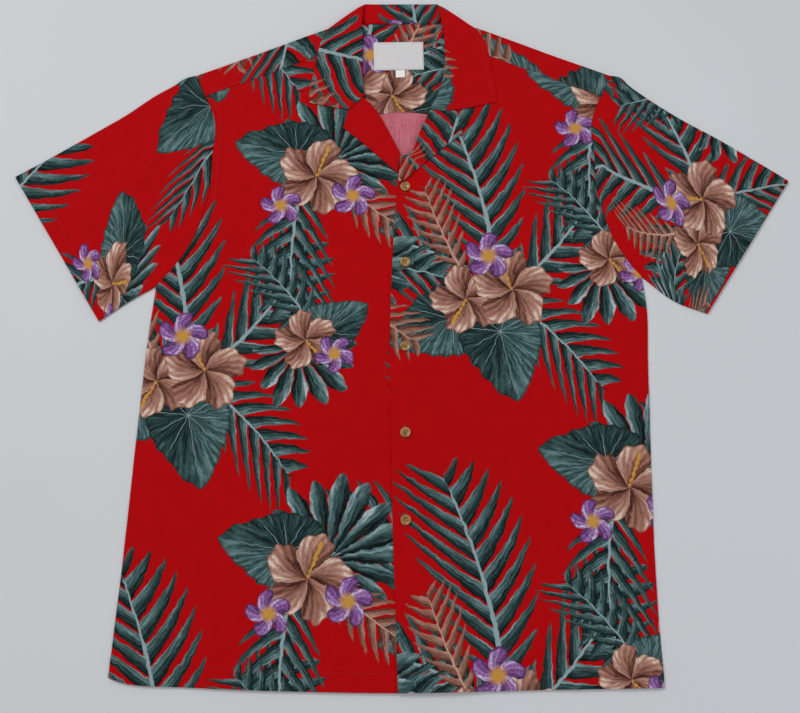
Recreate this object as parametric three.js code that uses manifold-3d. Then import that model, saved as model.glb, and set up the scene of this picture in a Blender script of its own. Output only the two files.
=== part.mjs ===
// A short-sleeved camp-collar shirt, buttoned and laid flat on its back, in millimetres.
// X runs across the chest, Y from the hem to the collar and Z up from the surface it lies on.
// Each cut piece of cloth is a thin closed wall, and the layers lie on each other.
import * as THREE from "three";
import { mergeVertices } from "three/addons/utils/BufferGeometryUtils.js";
import Module from "manifold-3d";

const wasm = await Module();
wasm.setup();

// Cloth
const WALL = 1;
const GAP = 0.3;
const PLY = WALL + GAP;
const HEM_DEPTH = 22;
const HEM_EXTRA = 0.6;
const LINING_EASE = 0.25;
const STEP_START = 24;
const STEP_END = 84;

// Yoke and neck, the same on both sides
const NECK_HALF = 87.5;
const NECK_Y = 762;
const NECK_MIDDLE_HALF = 45;
const NECK_MIDDLE_Y = 767;
const SHOULDER_HALF = 244;
const SHOULDER_Y = 699;
const YOKE_SEAM_Y = 652;
const YOKE_SEAM_HALF = 225;
const YOKE_FRONT_DEPTH = 30;

// Collar
const COLLAR_TOP_Y = 796;
const COLLAR_TOP_LEFT_X = -47;
const COLLAR_TOP_RIGHT_X = 41.5;
const FALL_EDGE_Y = 748;
const FALL_HALF = 88;
const STAND_HEIGHT_Z = 2.5;

// Height of the stand beside the neck and at the top corner, and of the hem that wraps under there
const STAND_SHOULDER_Z = 5.4;
const STAND_CORNER_Z = 3.6;
const WRAP_FIRST_Z = 4.4;
const WRAP_LAST_Z = 1.9;

// Rounding of the rolled edges: height at the roll, and how far it reaches
const COLLAR_CROWN = 1.8;
const COLLAR_CROWN_SHARE = 0.32;
const LAPEL_CROWN = 1.6;
const LAPEL_CROWN_REACH = 16;

// Radius of the yoke's fold over the shoulder
const SHOULDER_TURN = 1.35;

// Buttons, along the centre front
const BUTTON_X = 2;
const BUTTON_DIAMETER = 11.4;
const BUTTON_THICKNESS = 2.4;
const BUTTON_HEIGHTS = [556, 464, 366, 269, 175];

// Neck label and the size tab below it
const LABEL = { x: -5.5, y: 724.6, width: 59, height: 38, tilt: 0.02 };
const SIZE_TAB = { x: -3.5, y: 700.4, width: 11, height: 9.5, tilt: 0.02 };

// Armhole seam from the shoulder to just above the underarm, as half widths
const ARMHOLE = [
  { half: 244, y: 699 },
  { half: 220, y: 640 },
  { half: 221, y: 596 },
  { half: 222, y: 552 },
  { half: 230, y: 518 },
  { half: 239, y: 491 },
  { half: 256, y: 462 },
];

// Where the two sides lie: the side seams from the underarm to the hem, and the sleeves' outlines
const SIDES = {
  left: {
    sign: -1,
    seam: [
      { x: -277, y: 436 },
      { x: -283, y: 362 },
      { x: -289, y: 245 },
      { x: -294, y: 134 },
      { x: -301, y: 15 },
    ],
    sleeveTop: [
      { x: -258, y: 695 },
      { x: -271, y: 685 },
      { x: -294, y: 671 },
      { x: -324, y: 648 },
      { x: -357, y: 626 },
      { x: -402, y: 597 },
    ],
    cuffTop: { x: -447, y: 569 },
    cuffLow: { x: -338, y: 395 },
    sleeveUnder: [{ x: -305, y: 419 }],
  },
  right: {
    sign: 1,
    seam: [
      { x: 268, y: 447 },
      { x: 271, y: 400 },
      { x: 268, y: 330 },
      { x: 263, y: 134 },
      { x: 265, y: 5 },
    ],
    sleeveTop: [
      { x: 257, y: 696 },
      { x: 268, y: 684 },
      { x: 291, y: 666 },
      { x: 324, y: 643 },
      { x: 366, y: 617 },
      { x: 409, y: 588 },
    ],
    cuffTop: { x: 443, y: 564 },
    cuffLow: { x: 338, y: 404 },
    sleeveUnder: [{ x: 302, y: 419 }],
  },
};

// Bottom edge of the body
const HEM = [
  { x: -301, y: 15 },
  { x: -286, y: 10 },
  { x: -266, y: 7.2 },
  { x: -224, y: 5.7 },
  { x: -146, y: 2.5 },
  { x: -6, y: 0 },
  { x: 138, y: 3 },
  { x: 265, y: 5 },
];

// Inner edges of the fronts from the hem to the yoke: lap, turned-out roll and neck seam
const UPPER_FRONT_EDGE = [
  { x: -6, y: 0 },
  { x: -9, y: 87 },
  { x: -13, y: 220 },
  { x: -15, y: 368 },
  { x: -12, y: 475 },
  { x: -7, y: 558 },
  { x: -4, y: 590 },
  { x: -2.5, y: 597.5 },
  { x: 9, y: 603 },
  { x: 30, y: 650 },
  { x: 50, y: 675 },
  { x: 66, y: 703 },
];
const UNDER_FRONT_EDGE = [
  { x: 12, y: 0.5 },
  { x: 16, y: 220 },
  { x: 17, y: 475 },
  { x: 16, y: 545 },
  { x: 0, y: 576 },
  { x: -13, y: 617 },
  { x: -31, y: 650 },
  { x: -50, y: 675 },
  { x: -66, y: 703 },
];
const UNDER_LAP_X = 18;

// Turned-out lapels: roll edge from the bottom up, then outer edge from the bottom up
const LAPELS = {
  left: {
    roll: [
      { x: -3, y: 575 },
      { x: -15, y: 613 },
      { x: -31, y: 646 },
      { x: -46, y: 665 },
    ],
    outer: [
      { x: -7, y: 573 },
      { x: -43, y: 607 },
      { x: -70, y: 630 },
    ],
    notch: { x: -63.5, y: 651.5 },
  },
  right: {
    roll: [
      { x: -5, y: 562 },
      { x: -3, y: 590 },
      { x: -1.6, y: 598 },
      { x: 10, y: 603.5 },
      { x: 20, y: 628 },
      { x: 30, y: 649.5 },
    ],
    outer: [
      { x: 0, y: 563 },
      { x: 46, y: 604 },
      { x: 69, y: 622 },
    ],
    notch: { x: 62, y: 650 },
  },
};

// Sections of the collar's leaves from the lapel notch to the top: neck seam, roll, outer edge, and how far
// the section bows down; from the shoulder on, the outer edge is the fold that wraps to the back
const LEAVES = {
  left: [
    { neckX: -49, neckY: 676, rollX: -46, rollY: 671, edgeX: -109, edgeY: 662, bow: 14 },
    { neckX: -55, neckY: 687, rollX: -48, rollY: 686, edgeX: -111, edgeY: 681, bow: 4 },
    { neckX: -63.5, neckY: 702, rollX: -49, rollY: 703, edgeX: -105, edgeY: 701, bow: 0 },
    { neckX: -68, neckY: 718, rollX: -49, rollY: 721, edgeX: -102, edgeY: 721, bow: 0 },
    { neckX: -75, neckY: 735, rollX: -49, rollY: 740, edgeX: -98, edgeY: 741, bow: 0 },
    { neckX: -81, neckY: 750, rollX: -49, rollY: 756, edgeX: -94, edgeY: 759, bow: 0 },
    { neckX: -79, neckY: 766, rollX: -50, rollY: 768, edgeX: -84, edgeY: 766, bow: 0 },
    { neckX: -67, neckY: 775, rollX: -49.5, rollY: 779, edgeX: -69.5, edgeY: 778, bow: 0 },
    { neckX: -55.5, neckY: 785.5, rollX: -49, rollY: 788.5, edgeX: -57, edgeY: 788.5, bow: 0 },
  ],
  right: [
    { neckX: 34, neckY: 656, rollX: 30, rollY: 652.8, edgeX: 110, edgeY: 663, bow: 4.4 },
    { neckX: 49, neckY: 677, rollX: 42, rollY: 674, edgeX: 109, edgeY: 681, bow: 1 },
    { neckX: 61.5, neckY: 698, rollX: 48, rollY: 696, edgeX: 105, edgeY: 701, bow: 0 },
    { neckX: 67, neckY: 716, rollX: 50, rollY: 717, edgeX: 102, edgeY: 721, bow: 0 },
    { neckX: 75, neckY: 735, rollX: 50, rollY: 738, edgeX: 98, edgeY: 741, bow: 0 },
    { neckX: 81, neckY: 750, rollX: 49, rollY: 756, edgeX: 92.5, edgeY: 759.5, bow: 0 },
    { neckX: 76, neckY: 765, rollX: 47, rollY: 768, edgeX: 80.5, edgeY: 765.5, bow: 0 },
    { neckX: 63, neckY: 775, rollX: 45, rollY: 779, edgeX: 66.5, edgeY: 777, bow: 0 },
    { neckX: 51, neckY: 785, rollX: 43.5, rollY: 788, edgeX: 53.5, edgeY: 787.2, bow: 0 },
  ],
};

// Largest soft folds of the fronts and sleeves: a ridge from one point to another
const FOLDS = [
  { fromX: 150, fromY: 716, toX: 202, toY: 612, height: 2.6, spread: 13 },
  { fromX: 204, fromY: 640, toX: 186, toY: 520, height: 1.6, spread: 16 },
  { fromX: -262, fromY: 668, toX: -300, toY: 575, height: 2.2, spread: 15 },
  { fromX: -262, fromY: 600, toX: -370, toY: 520, height: 2.4, spread: 18 },
  { fromX: -290, fromY: 520, toX: -350, toY: 440, height: 1.8, spread: 15 },
  { fromX: 262, fromY: 640, toX: 372, toY: 560, height: 2.6, spread: 17 },
  { fromX: 262, fromY: 560, toX: 345, toY: 470, height: 2.2, spread: 18 },
  { fromX: 300, fromY: 470, toX: 268, toY: 500, height: 1.4, spread: 13 },
  { fromX: -262, fromY: 440, toX: -188, toY: 520, height: 1.8, spread: 14 },
  { fromX: 250, fromY: 430, toX: 178, toY: 500, height: 1.5, spread: 14 },
  { fromX: -255, fromY: 330, toX: -262, toY: 130, height: 1.5, spread: 20 },
  { fromX: 238, fromY: 360, toX: 246, toY: 120, height: 2, spread: 18 },
  { fromX: -120, fromY: 230, toX: -60, toY: 60, height: 1.2, spread: 26 },
  { fromX: 130, fromY: 250, toX: 100, toY: 70, height: 1.2, spread: 26 },
];

// Colours and finish
const COLOURS = {
  cloth: { color: 0xa60a0e, roughness: 0.85 },
  wrongSide: { color: 0xc86478, roughness: 0.9 },
  label: { color: 0xe6dfcc, roughness: 0.7 },
  tab: { color: 0xf0efec, roughness: 0.7 },
  button: { color: 0x8a5a1e, roughness: 0.25 },
};

// Plan helpers: points are [x, y] and curves are functions of a fraction from 0 to 1

function pairs(rows) {
  return rows.map((row) => [row.x, row.y]);
}

function mix(a, b, t) {
  return a.map((value, k) => value + (b[k] - value) * t);
}

function distance(a, b) {
  return Math.hypot(b[0] - a[0], b[1] - a[1]);
}

// A polyline by length, with the fractions of its corners
function polyline(points) {
  const lengths = [0];
  for (let i = 1; i < points.length; i++) {
    lengths.push(lengths[i - 1] + distance(points[i - 1], points[i]));
  }
  const total = lengths[lengths.length - 1];
  const corners = lengths.map((length) => length / total);
  const at = (t) => {
    let i = 1;
    while (i < corners.length - 1 && corners[i] < t) i++;
    const span = corners[i] - corners[i - 1];
    return mix(points[i - 1], points[i], (t - corners[i - 1]) / span);
  };
  return { at, corners, total };
}

// The corners of the curves, with even fractions between them
function fractions(count, ...curves) {
  const corners = curves.flatMap((curve) => curve.corners.slice(1, -1));
  const values = [0, 1];
  const cornerRoom = 0.05;
  const stepRoom = 0.45;
  const clear = (value, room) => values.every((other) => Math.abs(other - value) > room / count);
  for (const corner of corners) {
    if (clear(corner, cornerRoom)) values.push(corner);
  }
  for (let i = 1; i < count; i++) {
    if (clear(i / count, stepRoom)) values.push(i / count);
  }
  return values.sort((a, b) => a - b);
}

// A four-sided patch between a bottom, top, left and right curve
function patch(bottom, top, left, right) {
  return (u, v) => {
    const across = mix(left.at(v), right.at(v), u);
    const along = mix(bottom.at(u), top.at(u), v);
    const low = mix(bottom.at(0), bottom.at(1), u);
    const high = mix(top.at(0), top.at(1), u);
    const corners = mix(low, high, v);
    return [across[0] + along[0] - corners[0], across[1] + along[1] - corners[1]];
  };
}

function smooth(t) {
  const s = Math.min(1, Math.max(0, t));
  return s * s * (3 - 2 * s);
}

function distanceToSegment(x, y, a, b) {
  const dx = b[0] - a[0];
  const dy = b[1] - a[1];
  const t = Math.min(1, Math.max(0, ((x - a[0]) * dx + (y - a[1]) * dy) / (dx * dx + dy * dy)));
  return { distance: Math.hypot(x - a[0] - dx * t, y - a[1] - dy * t), t };
}

// Distance from a point to an outline, and 0 inside it
function distanceOutside(outline, x, y) {
  let inside = false;
  let nearest = Infinity;
  outline.forEach((a, i) => {
    const b = outline[(i + 1) % outline.length];
    nearest = Math.min(nearest, distanceToSegment(x, y, a, b).distance);
    const crosses = a[1] > y !== b[1] > y;
    if (crosses && x < ((b[0] - a[0]) * (y - a[1])) / (b[1] - a[1]) + a[0]) inside = !inside;
  });
  return inside ? 0 : nearest;
}

// 1 over an outline and a little past it, then a soft fall to 0
function over(outline, x, y) {
  const past = distanceOutside(outline, x, y);
  return 1 - smooth((past - STEP_START) / (STEP_END - STEP_START));
}

// Outlines that lift what lies on them

const FALL_OUTLINE = [
  [COLLAR_TOP_LEFT_X, COLLAR_TOP_Y],
  [COLLAR_TOP_RIGHT_X, COLLAR_TOP_Y],
  [FALL_HALF, NECK_Y],
  [93, 756],
  [60, 750],
  [0, FALL_EDGE_Y],
  [-60, 750],
  [-93, 756],
  [-FALL_HALF, NECK_Y],
];

const YOKE_OUTLINE = [
  [-YOKE_SEAM_HALF, YOKE_SEAM_Y],
  [YOKE_SEAM_HALF, YOKE_SEAM_Y],
  [SHOULDER_HALF, SHOULDER_Y],
  [NECK_HALF, NECK_Y],
  [NECK_MIDDLE_HALF, NECK_MIDDLE_Y],
  [-NECK_MIDDLE_HALF, NECK_MIDDLE_Y],
  [-NECK_HALF, NECK_Y],
  [-SHOULDER_HALF, SHOULDER_Y],
];

// Heights of the layers

function creases(x, y) {
  let height = 0;
  for (const fold of FOLDS) {
    const near = distanceToSegment(x, y, [fold.fromX, fold.fromY], [fold.toX, fold.toY]);
    const ends = 0.35 + 0.65 * Math.sin(Math.PI * near.t);
    height += fold.height * ends * Math.exp(-((near.distance / fold.spread) ** 2));
  }
  return height;
}

// Height above the body's bottom edge
function aboveHem(x, y) {
  let i = 1;
  while (i < HEM.length - 1 && HEM[i].x < x) i++;
  const t = (x - HEM[i - 1].x) / (HEM[i].x - HEM[i - 1].x);
  return y - THREE.MathUtils.lerp(HEM[i - 1].y, HEM[i].y, Math.min(1, Math.max(0, t)));
}

// Extra thickness of the turned-up hem, up to the row where it gets thinner
function hemExtra(x, y) {
  const rowSlack = 2.5;
  return aboveHem(x, y) < HEM_DEPTH + rowSlack ? HEM_EXTRA : 0;
}

// How much the hem of a layer lifts the one that lies on it
function hemLift(x, y) {
  const fallStart = 12;
  const fallLength = 24;
  return HEM_EXTRA * (1 - smooth((aboveHem(x, y) - HEM_DEPTH - fallStart) / fallLength));
}

function backFloor(x, y) {
  return PLY * over(FALL_OUTLINE, x, y);
}

function liningFloor(x, y) {
  return backFloor(x, y) + PLY + LINING_EASE;
}

// Underside of the front layer, which lies on the back and on the yoke's lining
function frontFloor(x, y) {
  const lining = (PLY + LINING_EASE) * over(YOKE_OUTLINE, x, y);
  return backFloor(x, y) + PLY + hemLift(x, y) + lining + creases(x, y);
}

// The upper front is one layer higher where it laps over the under front
function upperFrontFloor(x, y) {
  const lap = 1 - smooth((x - UNDER_LAP_X - STEP_START) / (STEP_END - STEP_START));
  return frontFloor(x, y) + (PLY + hemLift(x, y)) * lap;
}

// Meshes

// A closed wall between two grids of points; a cell counts where active says so, and wrap joins the last
// row to the first
function wall(name, upper, lower, material, { active = () => true, wrap = false } = {}) {
  const rows = upper.length;
  const columns = upper[0].length;
  const positions = [];
  const index = [];
  const placed = new Map();
  const at = (side, i, j) => {
    const row = i % rows;
    const key = (side * rows + row) * columns + j;
    if (!placed.has(key)) {
      placed.set(key, placed.size);
      positions.push(...(side === 0 ? upper : lower)[row][j]);
    }
    return placed.get(key);
  };
  const cellRows = wrap ? rows : rows - 1;
  const on = (i, j) => {
    const row = wrap ? (i + rows) % rows : i;
    return row >= 0 && row < cellRows && j >= 0 && j < columns - 1 && active(row, j);
  };
  const quad = (a, b, c, d) => index.push(a, b, c, a, c, d);
  for (let i = 0; i < cellRows; i++) {
    for (let j = 0; j < columns - 1; j++) {
      if (!on(i, j)) continue;
      const [a, b, c, d] = [at(0, i, j), at(0, i, j + 1), at(0, i + 1, j + 1), at(0, i + 1, j)];
      const [e, f, g, h] = [at(1, i, j), at(1, i, j + 1), at(1, i + 1, j + 1), at(1, i + 1, j)];
      quad(a, b, c, d);
      quad(h, g, f, e);
      if (!on(i - 1, j)) quad(e, f, b, a);
      if (!on(i + 1, j)) quad(c, g, h, d);
      if (!on(i, j - 1)) quad(a, d, h, e);
      if (!on(i, j + 1)) quad(b, f, g, c);
    }
  }
  const geometry = new THREE.BufferGeometry();
  geometry.setAttribute("position", new THREE.Float32BufferAttribute(positions, 3));
  geometry.setIndex(index);
  const solid = new THREE.Mesh(geometry, material);
  solid.name = name;
  return solid;
}

// A flat panel: a plan patch with its underside and thickness given as functions of x and y
function panel(name, plan, us, vs, floor, material, thickness = () => WALL) {
  const grid = vs.map((v) => us.map((u) => plan(u, v)));
  const upper = grid.map((row) =>
    row.map(([x, y]) => [x, y, floor(x, y) + thickness(x, y)]),
  );
  const lower = grid.map((row) => row.map(([x, y]) => [x, y, floor(x, y)]));
  return wall(name, upper, lower, material);
}

// A folded sheet: a grid through the middle of the cloth, thickened along its normals
function folded(name, middle, material, options = {}) {
  const { active = () => true, wrap = false } = options;
  const rows = middle.length;
  const columns = middle[0].length;
  const cellRows = wrap ? rows : rows - 1;
  const normals = middle.map((row) => row.map(() => new THREE.Vector3()));
  const point = (i, j) => new THREE.Vector3(...middle[i % rows][j]);
  for (let i = 0; i < cellRows; i++) {
    for (let j = 0; j < columns - 1; j++) {
      if (!active(i, j)) continue;
      const across = point(i + 1, j + 1).sub(point(i, j));
      const back = point(i + 1, j).sub(point(i, j + 1));
      const normal = across.cross(back).normalize();
      for (const [m, n] of [[i, j], [i, j + 1], [i + 1, j], [i + 1, j + 1]]) {
        normals[m % rows][n].add(normal);
      }
    }
  }
  const shifted = (amount) =>
    middle.map((row, i) =>
      row.map((p, j) => {
        const normal = normals[i][j].clone().normalize().multiplyScalar(amount);
        return [p[0] + normal.x, p[1] + normal.y, p[2] + normal.z];
      }),
    );
  return wall(name, shifted(WALL / 2), shifted(-WALL / 2), material, options);
}

// Pieces

const cloth = () => new THREE.MeshStandardMaterial(COLOURS.cloth);

// A fold turns half way round in these steps
const FOLD_ANGLES = [45, 90, 135].map(THREE.MathUtils.degToRad);

// The body's side edge from the hem to the armhole at a height
function sideEdge(side, topY) {
  const { sign, seam } = SIDES[side];
  const seamPoints = pairs(seam).reverse();
  const armhole = ARMHOLE.map((row) => [sign * row.half, row.y]).reverse();
  const below = armhole.filter(([, y]) => y < topY);
  const [start, end] = [armhole[armhole.length - 2], armhole[armhole.length - 1]];
  const top = mix(start, end, (topY - start[1]) / (end[1] - start[1]));
  return polyline([...seamPoints, ...below, top]);
}

function makeBack() {
  const left = sideEdge("left", YOKE_SEAM_Y - GAP);
  const right = sideEdge("right", YOKE_SEAM_Y - GAP);
  const bottom = polyline(pairs(HEM));
  const top = polyline([left.at(1), right.at(1)]);
  const plan = patch(bottom, top, left, right);
  const thickness = (x, y) => WALL + hemExtra(x, y);
  const vs = fractions(20, left, right);
  return panel("back_body", plan, fractions(16, bottom), hemRows(vs, left), backFloor,
    new THREE.MeshStandardMaterial(COLOURS.wrongSide), thickness);
}

// Rows with two more at the upper edge of the hem, where the cloth gets thinner
function hemRows(rows, edge) {
  const turn = HEM_DEPTH / edge.total;
  const before = turn * 0.95;
  const after = turn * 1.25;
  const clear = turn * 1.7;
  const kept = rows.filter((v) => v === 0 || v > clear);
  return [...kept, before, after].sort((a, b) => a - b);
}

// Where the front meets the yoke's front strip: the shoulder line moved down by the strip's depth
function shoulderFrame(sign) {
  const neck = [sign * NECK_HALF, NECK_Y];
  const arm = [sign * SHOULDER_HALF, SHOULDER_Y];
  const length = distance(neck, arm);
  const along = [(arm[0] - neck[0]) / length, (arm[1] - neck[1]) / length];
  const inward = [-sign * Math.abs(along[1]), -Math.abs(along[0])];
  return { neck, arm, inward };
}

function moved(point, direction, amount) {
  return [point[0] + direction[0] * amount, point[1] + direction[1] * amount];
}

function makeFront(side, name, innerRows, floor) {
  const { sign } = SIDES[side];
  const frame = shoulderFrame(sign);
  const drop = YOKE_FRONT_DEPTH + GAP;
  const neckEnd = moved(frame.neck, frame.inward, drop);
  const [, seamY] = moved(frame.arm, frame.inward, drop);
  const outer = sideEdge(side, seamY);
  const inner = polyline([...pairs(innerRows), neckEnd]);
  const hem = pairs(HEM);
  const cornerRoom = 8;
  const ahead = (x) => sign * x > sign * inner.at(0)[0] + cornerRoom;
  const bottom = polyline([inner.at(0), ...(sign < 0 ? hem.reverse() : hem).filter(([x]) => ahead(x))]);
  const top = polyline([inner.at(1), outer.at(1)]);
  const plan = sign < 0
    ? (u, v) => patch(bottom, top, inner, outer)(1 - u, v)
    : patch(bottom, top, inner, outer);
  const thickness = (x, y) => WALL + hemExtra(x, y);
  const vs = hemRows(fractions(26, outer, inner), outer);
  const us = fractions(13);
  return panel(name, plan, us, vs, floor, cloth(), thickness);
}

// The outer yoke: the back leaf, the folds over both shoulders and the strips on the front
function makeYoke() {
  const columnsShoulder = 8;
  const columnsNeck = 6;
  const columns = [];
  for (const [sign, from, to] of [[-1, 1, 0], [0, -1, 1], [1, 0, 1]]) {
    const count = sign === 0 ? columnsNeck : columnsShoulder;
    const inner = sign === 0 ? 1 : 0;
    for (let k = inner; k <= count - inner; k++) {
      columns.push({ sign, t: from + ((to - from) * k) / count });
    }
  }
  const inset = SHOULDER_TURN + WALL / 2;
  const leafRows = [0, 0.2, 0.4, 0.6, 0.8, 1];
  const stripInsets = [inset, YOKE_FRONT_DEPTH * 0.37, YOKE_FRONT_DEPTH * 0.68, YOKE_FRONT_DEPTH];
  const seamHalf = YOKE_SEAM_HALF - 0.1;
  const neckInset = 1.4;
  const middle = [];
  const highest = (column) => {
    if (column.sign === 0) {
      const x = column.t * NECK_HALF;
      const rise = smooth((NECK_HALF - Math.abs(x)) / (NECK_HALF - NECK_MIDDLE_HALF));
      return { point: [x, THREE.MathUtils.lerp(NECK_Y - neckInset, NECK_MIDDLE_Y, rise)] };
    }
    const frame = shoulderFrame(column.sign);
    const onShoulder = mix(frame.neck, frame.arm, column.t);
    return { point: moved(onShoulder, frame.inward, inset), onShoulder, inward: frame.inward };
  };
  const low = columns.map((column, k) => [
    -seamHalf + (2 * seamHalf * k) / (columns.length - 1), YOKE_SEAM_Y,
  ]);
  for (const v of leafRows) {
    middle.push(columns.map((column, k) => {
      const [x, y] = mix(low[k], highest(column).point, v);
      return [x, y, backFloor(x, y) + WALL / 2];
    }));
  }
  const strip = (x, y) => backFloor(x, y) + 2 * PLY + LINING_EASE + WALL / 2;
  for (const angle of FOLD_ANGLES) {
    middle.push(columns.map((column) => {
      const { point: [x, y], inward } = highest(column);
      if (!inward) return [x, y, 0];
      const bottom = backFloor(x, y) + WALL / 2;
      const radius = (strip(x, y) - bottom) / 2;
      const out = moved([x, y], inward, -SHOULDER_TURN * Math.sin(angle));
      return [...out, bottom + radius * (1 - Math.cos(angle))];
    }));
  }
  for (const depth of stripInsets) {
    middle.push(columns.map((column) => {
      const { onShoulder, inward } = highest(column);
      if (!onShoulder) return [0, 0, 0];
      const [x, y] = moved(onShoulder, inward, depth);
      return [x, y, strip(x, y)];
    }));
  }
  const leafCells = leafRows.length - 1;
  const neckFrom = columnsShoulder;
  const neckTo = columnsShoulder + columnsNeck;
  const active = (i, j) => i < leafCells || j < neckFrom || j >= neckTo;
  return folded("yoke_outer", middle, cloth(), { active });
}

function makeLining() {
  const frames = [shoulderFrame(-1), shoulderFrame(1)];
  const clear = 2 * SHOULDER_TURN + WALL / 2;
  const [leftNeck, leftArm] = [frames[0].neck, frames[0].arm].map((p) => moved(p, frames[0].inward, clear));
  const [rightNeck, rightArm] = [frames[1].neck, frames[1].arm].map((p) => moved(p, frames[1].inward, clear));
  const seamHalf = YOKE_SEAM_HALF - WALL / 2;
  const bottom = polyline([[-seamHalf, YOKE_SEAM_Y], [seamHalf, YOKE_SEAM_Y]]);
  const top = polyline([
    leftArm, leftNeck,
    [-NECK_MIDDLE_HALF, NECK_MIDDLE_Y - 1], [NECK_MIDDLE_HALF, NECK_MIDDLE_Y - 1],
    rightNeck, rightArm,
  ]);
  const left = polyline([bottom.at(0), top.at(0)]);
  const right = polyline([bottom.at(1), top.at(1)]);
  return panel("yoke_lining", patch(bottom, top, left, right), fractions(20, top),
    fractions(6), liningFloor, cloth());
}

// A sleeve: one cloth folded along the top and joined along the underarm, laid flat as a tube
function makeSleeve(side, name) {
  const { sign, seam, sleeveTop, cuffTop, cuffLow, sleeveUnder } = SIDES[side];
  const off = sign * (GAP + 0.2);
  const armhole = ARMHOLE.map((row) => [sign * row.half + off, row.y]);
  const underarm = [seam[0].x + off, seam[0].y];
  const armCurve = polyline([...armhole, underarm]);
  const cuffCurve = polyline(pairs([cuffTop, cuffLow]));
  const topCurve = polyline([armhole[0], ...pairs(sleeveTop), [cuffTop.x, cuffTop.y]]);
  const underCurve = polyline([underarm, ...pairs(sleeveUnder), [cuffLow.x, cuffLow.y]]);
  const plan = patch(topCurve, underCurve, armCurve, cuffCurve);
  const cuffTurn = HEM_DEPTH / topCurve.total;
  const clear = 1 - cuffTurn * 1.6;
  const beforeHem = 1 - cuffTurn * 1.1;
  const onHem = 1 - cuffTurn * 0.95;
  const stations = [...fractions(11, topCurve).filter((s) => s < clear), beforeHem, onHem, 1];
  const extra = (s) => (s > 1 - cuffTurn ? HEM_EXTRA : 0);
  const ts = fractions(13, armCurve);
  const outerRows = stations.map((s) => ring(s, 0));
  const innerRows = stations.map((s) => ring(s, WALL + extra(s)));
  // One section of the tube, moved in from the outside by an amount
  function ring(s, amount) {
    const across = distance(plan(s, 0), plan(s, 1));
    const points = [];
    const level = (x, y) => {
      const floor = frontFloor(x, y) + extra(s);
      return { low: backFloor(x, y) + amount, high: floor + WALL + extra(s) - amount };
    };
    const half = (WALL + extra(s)) * 1.15;
    const first = half / across;
    const leaf = ts.map((t) => Math.min(1 - first, Math.max(first, t)));
    // The folded edge at the top or the underarm, as a half round
    const foldedEdge = (t, angles) => {
      const here = plan(s, t);
      const towards = plan(s, t < 0.5 ? 0.02 : 0.98);
      const reach = distance(here, towards);
      const inward = [(towards[0] - here[0]) / reach, (towards[1] - here[1]) / reach];
      const { low, high } = level(...here);
      return angles.map((angle) => {
        const [x, y] = moved(here, inward, half - (half - amount) * Math.sin(angle));
        return [x, y, (low + high) / 2 + ((high - low) / 2) * Math.cos(angle)];
      });
    };
    for (const t of leaf) {
      const [x, y] = plan(s, t);
      points.push([x, y, level(x, y).high]);
    }
    points.push(...foldedEdge(1, FOLD_ANGLES));
    for (const t of [...leaf].reverse()) {
      const [x, y] = plan(s, t);
      points.push([x, y, level(x, y).low]);
    }
    points.push(...foldedEdge(0, [...FOLD_ANGLES].reverse()));
    return points;
  }
  const transpose = (rows) => rows[0].map((_, j) => rows.map((row) => row[j]));
  const outwards = (grid) => (sign < 0 ? transpose(grid) : transpose(grid).reverse());
  return wall(name, outwards(outerRows), outwards(innerRows), cloth(), { wrap: true });
}

// A lapel: the facing turned out at the roll, lying on its own front
function makeLapel(side, name, floor) {
  const { roll, outer, notch } = LAPELS[side];
  const { sign } = SIDES[side];
  const rollCurve = polyline(pairs(roll));
  const outerCurve = polyline(pairs(outer));
  const bottom = polyline([rollCurve.at(0), outerCurve.at(0)]);
  const top = polyline([rollCurve.at(1), [notch.x, notch.y], outerCurve.at(1)]);
  const plan = sign < 0
    ? (u, v) => patch(bottom, top, rollCurve, outerCurve)(1 - u, v)
    : patch(bottom, top, rollCurve, outerCurve);
  const lifted = (x, y) => {
    let nearest = Infinity;
    const points = pairs(roll);
    for (let i = 1; i < points.length; i++) {
      nearest = Math.min(nearest, distanceToSegment(x, y, points[i - 1], points[i]).distance);
    }
    const crown = LAPEL_CROWN * Math.exp(-((nearest / LAPEL_CROWN_REACH) ** 2));
    return floor(x, y) + WALL + 2 * GAP + crown;
  };
  return panel(name, plan, fractions(6, top), fractions(9, outerCurve, rollCurve), lifted, cloth());
}

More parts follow.
